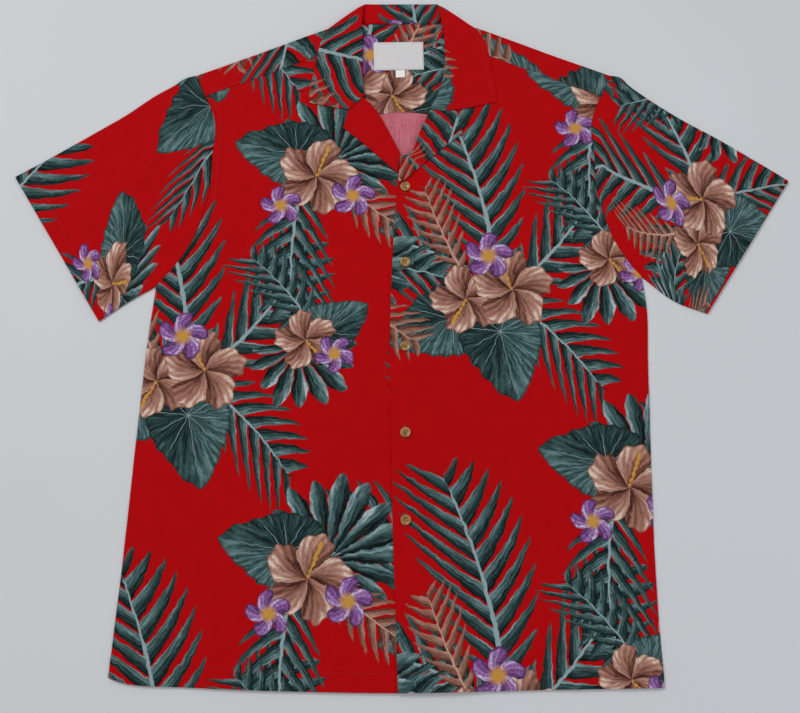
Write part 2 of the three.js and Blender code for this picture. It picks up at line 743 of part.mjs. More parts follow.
// A collar leaf: stand, roll and fall on the front, then the fold that wraps over the shoulder
function makeLeaf(side, name, floor) {
  const rows = LEAVES[side];
  const { sign } = SIDES[side];
  const lastOnFront = 5;
  const standSteps = [0, 0.55];
  const fallSteps = [0.08, 0.25, 0.45, 0.66, 0.86, 1];
  const foldReach = 1.5;
  const outward = [sign * 0.61, 0.79];
  const middle = rows.map((row, i) => {
    const neck = [row.neckX, row.neckY];
    const roll = [row.rollX, row.rollY];
    const edge = [row.edgeX, row.edgeY];
    const wraps = i > lastOnFront;
    const sink = wraps ? (i - lastOnFront) / (rows.length - lastOnFront) : 0;
    const standZ = wraps
      ? THREE.MathUtils.lerp(STAND_SHOULDER_Z, STAND_CORNER_Z, sink)
      : backFloor(...neck) + 2 * PLY + LINING_EASE + WALL / 2;
    const fallZ = (x, y, t) => {
      const crown = COLLAR_CROWN * Math.exp(-((t / COLLAR_CROWN_SHARE) ** 2));
      const resting = floor(x, y) + WALL + 2 * GAP + WALL / 2;
      return (wraps ? standZ + PLY + GAP : resting) + crown;
    };
    const points = standSteps.map((t) => [...mix(neck, roll, t), standZ]);
    const rollTop = fallZ(...roll, 0);
    points.push([...roll, (standZ + rollTop) / 2]);
    for (const t of fallSteps) {
      const [x, y] = mix(roll, edge, t);
      const bowed = y - row.bow * Math.sin(Math.PI * t ** 0.6);
      points.push([x, bowed, fallZ(x, bowed, t)]);
    }
    // Past the shoulder the fall ends in the fold; on the front the same points end its edge
    const last = points.pop();
    if (wraps) {
      const returnZ = i === lastOnFront + 1 ? WRAP_FIRST_Z : WRAP_LAST_Z;
      points.push([...moved(last, outward, -foldReach), last[2]]);
      points.push([last[0], last[1], (last[2] + returnZ) / 2]);
      points.push([...moved(last, outward, -foldReach - WALL / 2), returnZ]);
    } else {
      const before = points[points.length - 1];
      points.push(mix(before, last, 0.5), mix(before, last, 0.8), last);
    }
    return points;
  });
  const grid = sign < 0 ? middle : [...middle].reverse();
  return folded(name, grid, cloth());
}

// The collar across the back: the stand inside the neck, folded at the top, with the fall under the yoke
function makeCollarBack() {
  const { lerp } = THREE.MathUtils;
  const columns = 12;
  const middle = [];
  const turn = 0.95;
  const cornerInset = 1.5;
  const cornerRise = 8;
  const standRows = [0, 0.5, 1];
  const fallRows = [0, 0.3, 0.65, 1];
  const widening = 1.3;
  const us = Array.from({ length: columns + 1 }, (_, k) => -1 + (2 * k) / columns);
  const foldY = COLLAR_TOP_Y - WALL / 2 - turn;
  const standZ = STAND_HEIGHT_Z;
  const fallZ = WALL / 2;
  const topX = (u) =>
    lerp(COLLAR_TOP_LEFT_X + cornerInset, COLLAR_TOP_RIGHT_X - cornerInset, (u + 1) / 2);
  for (const v of standRows) {
    middle.push(us.map((u) => [topX(u), lerp(NECK_MIDDLE_Y + 1, foldY, v), standZ]));
  }
  for (const angle of FOLD_ANGLES) {
    middle.push(us.map((u) => {
      const y = foldY + turn * Math.sin(angle);
      return [topX(u), y, standZ - ((standZ - fallZ) / 2) * (1 - Math.cos(angle))];
    }));
  }
  for (const v of fallRows) {
    middle.push(us.map((u) => {
      const x = lerp(topX(u), u * FALL_HALF, Math.min(1, v * widening));
      return [x, lerp(foldY, FALL_EDGE_Y + cornerRise * u * u, v), fallZ];
    }));
  }
  return folded("collar_back", middle, cloth());
}

// A small flat piece of woven tape on the yoke's lining
function makeTape(name, tape, material, floor) {
  const clearance = GAP * 1.5;
  const grid = [];
  for (let i = 0; i <= 2; i++) {
    const row = [];
    for (let j = 0; j <= 3; j++) {
      const x = (j / 3 - 0.5) * tape.width;
      const y = (i / 2 - 0.5) * tape.height;
      const cos = Math.cos(tape.tilt);
      const sin = Math.sin(tape.tilt);
      row.push([tape.x + x * cos - y * sin, tape.y + x * sin + y * cos]);
    }
    grid.push(row);
  }
  const at = (extra) => grid.map((row) => row.map(([x, y]) => [x, y, floor(x, y) + extra]));
  return wall(name, at(clearance + WALL), at(clearance), new THREE.MeshStandardMaterial(material));
}

// A geometry with merged vertices as a solid, and a solid as a geometry
function toSolid(geometry) {
  const tolerance = 1e-4;
  const bare = geometry.clone();
  bare.deleteAttribute("normal");
  bare.deleteAttribute("uv");
  const merged = mergeVertices(bare, tolerance);
  return new wasm.Manifold(new wasm.Mesh({
    numProp: 3,
    vertProperties: merged.attributes.position.array,
    triVerts: new Uint32Array(merged.index.array),
  }));
}

function toGeometry(solid) {
  const { vertProperties, triVerts } = solid.getMesh();
  const geometry = new THREE.BufferGeometry();
  geometry.setAttribute("position", new THREE.BufferAttribute(vertProperties, 3));
  geometry.setIndex(new THREE.BufferAttribute(triVerts, 1));
  return geometry;
}

// A sewn-on button with a raised rim, a dished middle and four holes
function buttonGeometry() {
  const radius = BUTTON_DIAMETER / 2;
  const profile = [
    { in: radius, z: 0 },
    { in: 0.9, z: 0 },
    { in: 0, z: 0.9 },
    { in: 0.2, z: BUTTON_THICKNESS - 0.5 },
    { in: 1, z: BUTTON_THICKNESS },
    { in: 2, z: BUTTON_THICKNESS - 0.7 },
    { in: radius, z: BUTTON_THICKNESS - 0.9 },
  ].map((row) => new THREE.Vector2(radius - row.in, row.z));
  const sides = 16;
  const disc = new THREE.LatheGeometry(profile, sides);
  disc.rotateX(Math.PI / 2);
  let solid = toSolid(disc);
  const spread = 1.25;
  const holeRadius = 0.75;
  for (const [sx, sy] of [[-1, -1], [1, -1], [1, 1], [-1, 1]]) {
    const hole = new THREE.CylinderGeometry(holeRadius, holeRadius, 2 * BUTTON_THICKNESS, 6);
    hole.rotateX(Math.PI / 2);
    hole.translate(sx * spread, sy * spread, BUTTON_THICKNESS / 2);
    solid = solid.subtract(toSolid(hole));
  }
  return toGeometry(solid);
}

// The shirt

const shirt = new THREE.Group();
shirt.add(makeBack());
shirt.add(makeYoke());
shirt.add(makeLining());
shirt.add(makeFront("left", "front_under", UNDER_FRONT_EDGE, frontFloor));
shirt.add(makeFront("right", "front_upper", UPPER_FRONT_EDGE, upperFrontFloor));
shirt.add(makeSleeve("left", "sleeve_left"));
shirt.add(makeSleeve("right", "sleeve_right"));
shirt.add(makeLapel("left", "lapel_left", frontFloor));
shirt.add(makeLapel("right", "lapel_right", upperFrontFloor));
shirt.add(makeCollarBack());
shirt.add(makeLeaf("left", "collar_leaf_left", frontFloor));
shirt.add(makeLeaf("right", "collar_leaf_right", upperFrontFloor));
shirt.add(makeTape("neck_label", LABEL, COLOURS.label, (x, y) => liningFloor(x, y) + WALL));
shirt.add(makeTape("size_tab", SIZE_TAB, COLOURS.tab, (x, y) => liningFloor(x, y) + WALL));

const button = buttonGeometry();
const underRim = [-BUTTON_DIAMETER / 2, BUTTON_DIAMETER / 2];
BUTTON_HEIGHTS.forEach((y, k) => {
  const mesh = new THREE.Mesh(button, new THREE.MeshStandardMaterial(COLOURS.button));
  mesh.name = `button_${k + 1}`;
  const floors = underRim.flatMap((dx) => underRim.map((dy) => upperFrontFloor(BUTTON_X + dx, y + dy)));
  mesh.position.set(BUTTON_X, y, Math.max(...floors) + WALL + GAP);
  shirt.add(mesh);
});

// The part's origin is under the middle of the whole shirt
const bounds = new THREE.Box3().setFromObject(shirt);
const centre = bounds.getCenter(new THREE.Vector3());
shirt.position.set(-centre.x, -centre.y, -bounds.min.z);

export default shirt;
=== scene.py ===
"""A short-sleeved camp-collar shirt of printed cotton, buttoned and laid flat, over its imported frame.

Garment coordinates are millimetres: X across the chest, Y from the hem to the collar, Z up.
"""
import math

import bmesh
import bpy
import numpy as np
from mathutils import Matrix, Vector
from numpy.linalg import norm


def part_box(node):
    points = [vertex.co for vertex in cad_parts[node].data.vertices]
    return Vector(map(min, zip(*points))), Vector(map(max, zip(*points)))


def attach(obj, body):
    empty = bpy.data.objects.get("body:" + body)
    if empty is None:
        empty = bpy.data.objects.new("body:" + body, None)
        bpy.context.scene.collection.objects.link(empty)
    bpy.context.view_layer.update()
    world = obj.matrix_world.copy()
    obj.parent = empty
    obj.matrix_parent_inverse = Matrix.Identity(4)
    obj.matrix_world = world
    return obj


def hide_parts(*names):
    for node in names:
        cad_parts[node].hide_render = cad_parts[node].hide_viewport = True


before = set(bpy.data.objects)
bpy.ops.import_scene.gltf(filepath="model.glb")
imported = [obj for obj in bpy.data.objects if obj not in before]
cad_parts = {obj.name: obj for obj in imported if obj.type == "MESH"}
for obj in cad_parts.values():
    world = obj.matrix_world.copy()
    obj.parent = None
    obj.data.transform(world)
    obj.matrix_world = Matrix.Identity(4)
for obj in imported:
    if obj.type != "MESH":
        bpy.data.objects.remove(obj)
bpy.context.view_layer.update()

# Layers, as in the part's source
WALL = 1.0
PLY = 1.3
HEM_DEPTH = 22.0
HEM_ROW = HEM_DEPTH - 2.5
HEM_EXTRA = 0.6
SEAM_GROOVE = 0.55
SEAM_ALLOWANCE = 7.5
LINING_EASE = 0.25
STEP_START = 24.0
STEP_END = 84.0

# The visual cloth is thinner than its solid
CLOTH = 0.6

# Distances from a hem of the rows of points, close together at its stitches
HEM_STATIONS = (0.35, 0.9, 1.8, 3.5, 6, 9, 12, 15, 17.5, 18.7, 19.5, 20.3, 21.2, 22, 22.8, 23.8, 25.5)
BACK_HEM_STATIONS = (0.35, 0.9, 1.8, 3.5, 7, 11, 15, 18.5, 20.3, 22, 23.8, 25.5)

# Width of the folded-in facing along the lap, which shows as a faint step
FACING_WIDTH = 27.0

# Topstitching inside the free edges of collar and lapels
TOPSTITCH = 5.5
STITCH_HEIGHT = 0.24

# Yoke, neck and collar
NECK_HALF = 87.5
NECK_Y = 762.0
NECK_MIDDLE_HALF = 45.0
NECK_MIDDLE_Y = 767.0
SHOULDER_HALF = 244.0
SHOULDER_Y = 699.0
YOKE_SEAM_Y = 652.0
YOKE_SEAM_HALF = 225.0
YOKE_FRONT_DEPTH = 30.0
COLLAR_TOP_Y = 796.0
COLLAR_TOP_X = {-1: -46.8, 1: 41.3}
FALL_EDGE_Y = 748.0

# Height of the collar's stand beside the neck, at the top corner and at the back, and of the hem under it
STAND_SIDE_Z = 5.4
STAND_CORNER_Z = 3.6
STAND_BACK_Z = 2.6
WRAPPED_HEM_Z = 0.36

# Buttons
BUTTON_X = 2.0
BUTTON_HEIGHTS = [556, 464, 366, 269, 175]
BUTTON_TURNS = [7, -12, 20, -4, 11]
HOLE_OFFSET = 1.25

ARMHOLE = [(244, 699), (220, 640), (221, 596), (222, 552), (230, 518), (239, 491), (256, 462)]

SIDES = {
    -1: {
        "seam": [(-277, 436), (-283, 362), (-289, 245), (-294, 134), (-301, 15)],
        "top": [(-258, 695), (-271, 685), (-294, 671), (-324, 648), (-357, 626), (-402, 597)],
        "cuff": [(-447, 569), (-338, 395)],
        "under": (-305, 419),
    },
    1: {
        "seam": [(268, 447), (271, 400), (268, 330), (263, 134), (265, 5)],
        "top": [(257, 696), (268, 684), (291, 666), (324, 643), (366, 617), (409, 588)],
        "cuff": [(443, 564), (338, 404)],
        "under": (302, 419),
    },
}
HEM = [
    (-301, 15), (-286, 10), (-266, 7.2), (-224, 5.7), (-146, 2.5), (-6, 0), (138, 3), (265, 5),
]
UPPER_EDGE = [
    (-6, 0), (-9, 87), (-13, 220), (-15, 368), (-12, 475), (-7, 558),
    (-4.2, 586), (-3, 593), (10, 598.5), (31.3, 650), (50, 675), (66, 703),
]
UNDER_EDGE = [
    (12, 0.5), (16, 220), (17, 475), (16, 545), (5, 577), (-3.2, 597),
    (-13, 617), (-31, 650), (-50, 675), (-66, 703),
]
UNDER_LAP_X = 18.0

# The lapels' upper edges tuck under the collar's leaves
LAPELS = {
    -1: {
        "roll": [
            (-6.6, 575.5), (-5.4, 589), (-4.5, 596.5), (-14, 616.5), (-30.6, 648.5), (-46.8, 668),
        ],
        "outer": [(-7, 573), (-43, 607), (-70, 630)],
        "notch": (-64, 654),
    },
    1: {
        "roll": [(-5, 562), (-3.4, 586), (-2, 593.6), (10.6, 599.2), (21.6, 627.5), (32, 652)],
        "outer": [(0, 563), (46, 604), (69, 622)],
        "notch": (62, 651.5),
    },
}

# Sections of the collar: neck seam, roll, edge or silhouette fold, and the bow of the front ones
LEAVES = {
    -1: [
        (-49, 676, -46, 671, -109, 662, 15.5), (-55, 687, -48, 686, -111, 681, 4),
        (-63.5, 702, -49, 703, -105, 701, 0), (-68, 718, -49, 721, -102, 721, 0),
        (-75, 735, -49, 740, -98, 741, 0), (-81, 750, -49, 756, -89.5, 758.5, 0),
        (-79, 765.5, -50, 768, -83, 765.2, 0), (-67, 774.5, -49.5, 778.5, -68.8, 777, 0),
        (-55, 785, -48.5, 788, -56.2, 787.3, 0),
    ],
    1: [
        (35, 656, 31, 653, 110, 663, 5.2), (49, 677, 42, 674, 109, 681, 1),
        (61.5, 698, 48, 696, 105, 701, 0), (67, 716, 50, 717, 102, 721, 0),
        (75, 735, 50, 738, 98, 741, 0), (81, 750, 49, 756, 87.5, 758, 0),
        (76, 764.5, 47, 768, 79, 765.2, 0), (63, 774.5, 45, 778.5, 66, 775.6, 0),
        (50.5, 784.5, 43, 787.5, 52.8, 786, 0),
    ],
}

# Soft folds in the fronts and sleeves, as in the part's source: ends, height, spread
FOLDS = [
    (150, 716, 202, 612, 2.6, 13), (204, 640, 186, 520, 1.6, 16),
    (-262, 668, -300, 575, 2.2, 15), (-262, 600, -370, 520, 2.4, 18),
    (-290, 520, -350, 440, 1.8, 15), (262, 640, 372, 560, 2.6, 17),
    (262, 560, 345, 470, 2.2, 18), (300, 470, 268, 500, 1.4, 13),
    (-262, 440, -188, 520, 1.8, 14), (250, 430, 178, 500, 1.5, 14),
    (-255, 330, -262, 130, 1.5, 20), (238, 360, 246, 120, 2, 18),
    (-120, 230, -60, 60, 1.2, 26), (130, 250, 100, 70, 1.2, 26),
]

# Smaller creases: ends, height (negative for a trough), spread
CREASES = [
    (140, 722, 176, 655, -0.7, 6), (168, 690, 196, 628, 0.6, 5), (196, 618, 214, 566, -0.5, 7),
    (-196, 660, -214, 585, -0.6, 7), (-176, 640, -205, 566, 0.5, 8), (-222, 560, -196, 505, -0.5, 9),
    (-118, 560, -70, 470, 0.35, 16), (-70, 430, -92, 330, -0.35, 18), (-190, 420, -150, 330, 0.4, 17),
    (-230, 300, -205, 190, -0.45, 15), (-170, 240, -182, 110, 0.4, 14), (-66, 190, -40, 90, -0.3, 15),
    (-98, 118, -110, 34, 0.35, 10), (-208, 96, -214, 30, -0.4, 9), (-252, 60, -262, 14, 0.35, 8),
    (60, 560, 118, 470, 0.35, 18), (96, 452, 70, 360, -0.35, 16), (178, 410, 212, 300, 0.4, 15),
    (66, 300, 104, 196, 0.35, 17), (212, 262, 198, 150, -0.45, 13), (150, 150, 162, 60, 0.4, 11),
    (36, 150, 54, 50, -0.3, 13), (90, 80, 84, 24, 0.35, 9), (226, 90, 232, 20, -0.4, 9),
    (-292, 640, -330, 596, -0.5, 7), (-330, 560, -388, 516, 0.5, 9), (-300, 566, -352, 520, -0.6, 8),
    (-376, 560, -418, 522, 0.35, 8), (-316, 470, -344, 428, -0.5, 7), (-280, 470, -318, 444, 0.6, 8),
    (288, 640, 322, 600, -0.5, 7), (330, 590, 392, 546, 0.5, 9), (300, 556, 356, 516, -0.6, 8),
    (376, 540, 410, 520, 0.35, 8), (312, 466, 346, 430, -0.5, 7), (276, 476, 306, 448, 0.6, 8),
    (-24, 684, 2, 687, -0.9, 4.5), (2, 687, 30, 695, -0.9, 4.5), (-20, 694, 26, 702, 0.5, 6),
]

# Long slow waves: amplitude, wavelength, direction in degrees, phase
WAVES = [
    (0.22, 148, 20, 0.4), (0.18, 96, 74, 1.9), (0.14, 67, 131, 4.1),
    (0.10, 41, 48, 2.6), (0.07, 29, 103, 5.2), (0.05, 19, 160, 0.9),
]

FALL_OUTLINE = [
    (-47, 796), (41.5, 796), (88, 762), (93, 756), (60, 750),
    (0, 748), (-60, 750), (-93, 756), (-88, 762),
]
YOKE_OUTLINE = [
    (-225, 652), (225, 652), (244, 699), (87.5, 762),
    (45, 767), (-45, 767), (-87.5, 762), (-244, 699),
]

# Lower edge of the yoke's lining, which bows down at the sides of the neck opening
LINING_EDGE = [
    (-224.5, 652), (-80, 651.6), (-48, 649.8), (-27, 649.6), (-12, 651.6), (0, 652.2),
    (12, 651.6), (27, 649.6), (48, 649.8), (80, 651.6), (224.5, 652),
]

# The lining comes down to the back at its lower edge
LINING_DROP = 0.65

# Label and size tab on the yoke's lining: middle, size, tilt
LABEL = (-5.5, 724.0, 59, 36.8, 0.02)
SIZE_TAB = (-3.5, 700.4, 11, 9.5, 0.02)

# Print: the repeat is a half drop, in metres
REPEAT_X = 0.33
REPEAT_Y = 0.455


# Plan curves and patches

def spline(a, b, c, d, t):
    """A point between b and c on a smooth curve through four."""
    cubic = (3 * b - a - 3 * c + d) * t ** 3
    return 0.5 * (2 * b + (c - a) * t + (2 * a - 5 * b + 4 * c - d) * t * t + cubic)


def rounded(points, steps=8):
    """Points along a smooth curve through the given ones."""
    p = np.array(points, float)
    ends = np.vstack([2 * p[0] - p[1], p, 2 * p[-1] - p[-2]])
    out = [spline(*ends[i:i + 4], t) for i in range(len(p) - 1) for t in np.arange(steps) / steps]
    return np.array([*out, p[-1]])


def lengths_along(points, axis=0):
    """Distances from the first point along each line of points."""
    steps = norm(np.diff(points, axis=axis), axis=-1)
    start = np.zeros_like(np.take(steps, [0], axis))
    return np.concatenate([start, np.cumsum(steps, axis=axis)], axis)


class Line:
    """A polyline that is read by a fraction of its length."""

    def __init__(self, points):
        self.points = np.array(points, float)
        along = lengths_along(self.points)
        self.total = along[-1]
        self.steps = along / self.total

    def at(self, t):
        return np.stack([np.interp(t, self.steps, self.points[:, k]) for k in (0, 1)], -1)


def patch(bottom, top, left, right):
    """A plan patch between four curves, as a function of arrays u and v."""

    def plan(u, v):
        u, v = np.broadcast_arrays(np.asarray(u, float), np.asarray(v, float))
        a, b = u[..., None], v[..., None]
        across = left.at(v) * (1 - a) + right.at(v) * a
        along = bottom.at(u) * (1 - b) + top.at(u) * b
        low = bottom.at(0.0) * (1 - a) + bottom.at(1.0) * a
        high = top.at(0.0) * (1 - a) + top.at(1.0) * a
        return across + along - low * (1 - b) - high * b

    return plan


def patch_grid(bottom, top, left, right, us, vs):
    """Plan points of a patch in rows and columns, and their fractions across and up."""
    u, v = np.meshgrid(us, vs)
    xy = patch(bottom, top, left, right)(u, v)
    return xy[..., 0], xy[..., 1], u, v


def turned(place, outward, first_z, last_z, angles):
    """A half round beside a place, from one height to another."""
    places = place + outward * np.sin(angles)[:, None]
    return np.column_stack([places, mix(first_z, last_z, (1 - np.cos(angles)) / 2)])


def smooth(t):
    s = np.clip(t, 0, 1)
    return s * s * (3 - 2 * s)


def fade(t):
    return 1 - smooth(t)


def bell(distance, spread):
    return np.exp(-((distance / spread) ** 2))


def mix(first, second, share):
    return first * (1 - share) + second * share


def direction(degrees):
    """Cosine and sine of an angle."""
    angle = math.radians(degrees)
    return math.cos(angle), math.sin(angle)


def segment_distance(x, y, a, b):
    dx, dy = b[0] - a[0], b[1] - a[1]
    t = np.clip(((x - a[0]) * dx + (y - a[1]) * dy) / (dx * dx + dy * dy), 0, 1)
    return np.hypot(x - a[0] - dx * t, y - a[1] - dy * t), t


def line_distance(points, x, y):
    """Distance to a polyline."""
    nearest = np.full(np.shape(x), 1e9)
    for a, b in zip(points[:-1], points[1:]):
        nearest = np.minimum(nearest, segment_distance(x, y, a, b)[0])
    return nearest


def over(outline, x, y):
    """1 over an outline and a little past it, then a soft fall to 0."""
    inside = np.zeros(np.shape(x), bool)
    nearest = np.full(np.shape(x), 1e9)
    for a, b in zip(outline, outline[1:] + outline[:1]):
        nearest = np.minimum(nearest, segment_distance(x, y, a, b)[0])
        if a[1] != b[1]:
            crossing_x = (b[0] - a[0]) * (y - a[1]) / (b[1] - a[1]) + a[0]
            inside ^= ((a[1] > y) != (b[1] > y)) & (x < crossing_x)
    past = np.where(inside, 0, nearest)
    return fade((past - STEP_START) / (STEP_END - STEP_START))


def spaced(total, step, near=(0.35, 0.9, 1.8, 3.2), end=True):
    """Fractions along a length, closer together at its ends."""
    start = [0.0, *near]
    stop = [total - v for v in reversed(start)] if end else [total]
    count = max(2, int(round((stop[0] - start[-1]) / step)))
    middle = np.linspace(start[-1], stop[0], count + 1)[1:-1]
    return np.array([*start, *middle, *stop]) / total


# Heights of the layers

def folds(x, y):
    height = np.zeros(np.shape(x))
    for x0, y0, x1, y1, tall, spread in FOLDS:
        gap, t = segment_distance(x, y, (x0, y0), (x1, y1))
        height += tall * (0.35 + 0.65 * np.sin(np.pi * t)) * bell(gap, spread)
    return height


def creases(x, y):
    """Small soft ridges and troughs with tapered ends, and slow waves."""
    height = np.zeros(np.shape(x))
    for x0, y0, x1, y1, tall, spread in CREASES:
        bend = 2.5 * math.sin(x0 * 0.37 + y1)
        mid = ((x0 + x1) / 2 + bend, (y0 + y1) / 2 - bend)
        first, t0 = segment_distance(x, y, (x0, y0), mid)
        second, t1 = segment_distance(x, y, mid, (x1, y1))
        t = np.where(first < second, t0 / 2, 0.5 + t1 / 2)
        gap = np.minimum(first, second)
        height += tall * np.sin(np.pi * np.clip(t, 0.04, 0.96)) * bell(gap, spread)
    for tall, wave, angle, phase in WAVES:
        cos, sin = direction(angle)
        along, across = x * cos + y * sin, y * cos - x * sin
        height += tall * np.sin(2 * np.pi * along / wave + phase + 0.9 * np.sin(across / wave * 2.3))
    return height


def above_hem(x, y):
    edge = np.array(HEM, float)
    return y - np.interp(x, edge[:, 0], edge[:, 1])


def hem_lift(x, y):
    return HEM_EXTRA * fade((above_hem(x, y) - HEM_DEPTH - 12) / 24)


def back_floor(x, y):
    return PLY * over(FALL_OUTLINE, x, y)


def lining_floor(x, y):
    return back_floor(x, y) + PLY + LINING_EASE


def front_floor(x, y):
    lining = (PLY + LINING_EASE) * over(YOKE_OUTLINE, x, y)
    return back_floor(x, y) + PLY + hem_lift(x, y) + lining + folds(x, y)


def upper_floor(x, y):
    lap = fade((x - UNDER_LAP_X - STEP_START) / (STEP_END - STEP_START))
    return front_floor(x, y) + (PLY + hem_lift(x, y)) * lap


# The upper front lies on the under one at the lap
FLOORS = {-1: front_floor, 1: upper_floor}


def over_front(sign, x, y):
    """Height of the cloth that lies turned out on a front."""
    return FLOORS[sign](x, y) + 2 * WALL + 0.6


def pucker(along, away, reach=7.0, tall=0.16):
    """Small uneven ripples beside a row of stitches."""
    ripple = np.sin(along / 1.45) + 0.7 * np.sin(along / 2.3 + 1.3) + 0.6 * np.sin(along / 4.1 + 0.4)
    return tall * ripple * bell(away, reach)


# The garment's place in the row frame
low_corner, high_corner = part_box("button_1")
SHIFT_X = (low_corner[0] + high_corner[0]) * 500 - BUTTON_X
SHIFT_Y = (low_corner[1] + high_corner[1]) * 500 - BUTTON_HEIGHTS[0]


def metres(points):
    return (np.asarray(points, float) + (SHIFT_X, SHIFT_Y, 0)) / 1000


# Node helpers

class Field:
    """A socket of a node tree, on which arithmetic adds math nodes."""

    def __init__(self, tree, socket):
        self.tree = tree
        self.socket = socket

    def __add__(self, other):
        return math_node("ADD", self, other)

    def __sub__(self, other):
        return math_node("SUBTRACT", self, other)

    def __mul__(self, other):
        return math_node("MULTIPLY", self, other)

    def __truediv__(self, other):
        return math_node("DIVIDE", self, other)

    def times_plus(self, factor, offset):
        return math_node("MULTIPLY_ADD", self, factor, offset)

    def clamped(self, factor, offset):
        """Times a factor plus an offset, kept from 0 to 1."""
        return math_node("MULTIPLY_ADD", self, factor, offset, clamp=True)

    def within(self, low, high, rate):
        """1 from low to high, with ends that are softer at a lower rate."""
        return self.clamped(rate, -rate * low) * self.clamped(-rate, rate * high)

    def abs(self):
        return math_node("ABSOLUTE", self)

    def sin(self):
        return math_node("SINE", self)

    def power(self, exponent):
        return math_node("POWER", self, exponent)

    def fract(self):
        return math_node("FRACT", self)


def add_node(tree, kind, inputs, **settings):
    """A node whose inputs are linked to fields or set to numbers and colours."""
    node = tree.nodes.new(kind)
    for name, value in settings.items():
        setattr(node, name, value)
    for key, value in inputs.items():
        if isinstance(value, Field):
            tree.links.new(value.socket, node.inputs[key])
        else:
            node.inputs[key].default_value = value
    return node


def math_node(operation, *inputs, clamp=False):
    tree = next(v.tree for v in inputs if isinstance(v, Field))
    values = dict(enumerate(inputs))
    node = add_node(tree, "ShaderNodeMath", values, operation=operation, use_clamp=clamp)
    return Field(tree, node.outputs[0])


def combine(x, y, z=0.0):
    return Field(x.tree, add_node(x.tree, "ShaderNodeCombineXYZ", {0: x, 1: y, 2: z}).outputs[0])


def separate(vector):
    node = add_node(vector.tree, "ShaderNodeSeparateXYZ", {0: vector})
    return [Field(vector.tree, socket) for socket in node.outputs]


def noise(vector, scale, detail=2.0, roughness=0.5, colour=False):
    values = {"Vector": vector, "Scale": scale, "Detail": detail, "Roughness": roughness}
    node = add_node(vector.tree, "ShaderNodeTexNoise", values)
    return Field(vector.tree, node.outputs["Color" if colour else 0])


def srgb(*values):
    """A colour given as 0 to 255, in linear light."""
    out = []
    for value in values:
        c = value / 255
        out.append(c / 12.92 if c <= 0.04045 else ((c + 0.055) / 1.055) ** 2.4)
    return (*out, 1.0)


def ramp(factor, stops):
    """Colours along a factor: pairs of a position and a colour."""
    node = add_node(factor.tree, "ShaderNodeValToRGB", {0: factor})
    elements = node.color_ramp.elements
    while len(elements) < len(stops):
        elements.new(0.5)
    for element, (position, colour) in zip(elements, stops):
        element.position = position
        element.color = colour
    return Field(factor.tree, node.outputs[0])


def blend(factor, first, second, mode="MIX"):
    """second over first by factor; each may be a Field or a colour."""
    tree = next(v.tree for v in (first, second, factor) if isinstance(v, Field))
    values = {0: factor, 6: first, 7: second}
    node = add_node(tree, "ShaderNodeMix", values, data_type="RGBA", blend_type=mode)
    return Field(tree, node.outputs[2])


def curve(field, points):
    """A value read off a smooth curve through points, from 0 to 1."""
    node = add_node(field.tree, "ShaderNodeFloatCurve", {"Value": field})
    line = node.mapping.curves[0]
    while len(line.points) < len(points):
        line.points.new(0.5, 0.5)
    for point, place in zip(line.points, points):
        point.location = place
    node.mapping.update()
    return Field(field.tree, node.outputs[0])


# The print: a generic design of palm fronds, fan palms, heart leaves, hibiscus and plumeria on red

PALM = [
    (0.0, srgb(14, 21, 22)), (0.25, srgb(34, 54, 54)), (0.5, srgb(64, 92, 91)),
    (0.75, srgb(112, 140, 142)), (1.0, srgb(182, 200, 204)),
]
TAN = [
    (0.0, srgb(70, 36, 28)), (0.3, srgb(130, 84, 70)), (0.6, srgb(168, 120, 104)),
    (0.85, srgb(198, 156, 138)), (1.0, srgb(228, 206, 188)),
]
LILAC = [
    (0.0, srgb(48, 24, 58)), (0.3, srgb(104, 62, 116)), (0.6, srgb(142, 94, 158)),
    (0.85, srgb(176, 144, 192)), (1.0, srgb(216, 206, 224)),
]
GOLD = srgb(204, 148, 66)

# How wide a heart leaf is by its angle from the tip, and how long a frond's leaflets are along its rib
HEART = [
    (0.0, 0.98), (0.07, 0.84), (0.17, 0.66), (0.34, 0.56), (0.55, 0.55), (0.76, 0.60), (0.9, 0.46),
    (1.0, 0.06),
]
REACH = [(0.0, 0.34), (0.12, 0.62), (0.34, 0.95), (0.5, 1.0), (0.72, 0.86), (0.9, 0.52), (1.0, 0.22)]

# How crisp a motif's edge is, by its size in metres
SHARPNESS = 1100


def placed(cloth, centre_x, centre_y, angle, size):
    """Coordinates of one motif in units of its size, repeated in a half drop, and its edge's sharpness."""
    column = cloth["x"].times_plus(1 / REPEAT_X, -centre_x / REPEAT_X)
    whole = math_node("ROUND", column)
    across = column - whole
    row = whole.times_plus(-0.5, cloth["y"].times_plus(1 / REPEAT_Y, -centre_y / REPEAT_Y))
    up = row - math_node("ROUND", row)
    cos, sin = direction(angle)
    px = across.times_plus(REPEAT_X * cos / size, up * (REPEAT_Y * sin / size))
    py = across.times_plus(-REPEAT_X * sin / size, up * (REPEAT_Y * cos / size))
    return px, py, size * SHARPNESS


def polar(px, py):
    radius = math_node("SQRT", px.times_plus(px, py * py))
    return radius, math_node("ARCTAN2", py, px)


def strokes(across, along):
    """Uneven brush strokes: fine across a blade, long along it."""
    return noise(combine(across, along), 1.0, 2.0, 0.6)


def strokes_from_middle(px, py, radius, fine, long):
    """Brush strokes that run outwards from a motif's middle."""
    return noise(combine(px / radius * fine, py / radius * fine, radius * long), 1.0, 2.0, 0.6)


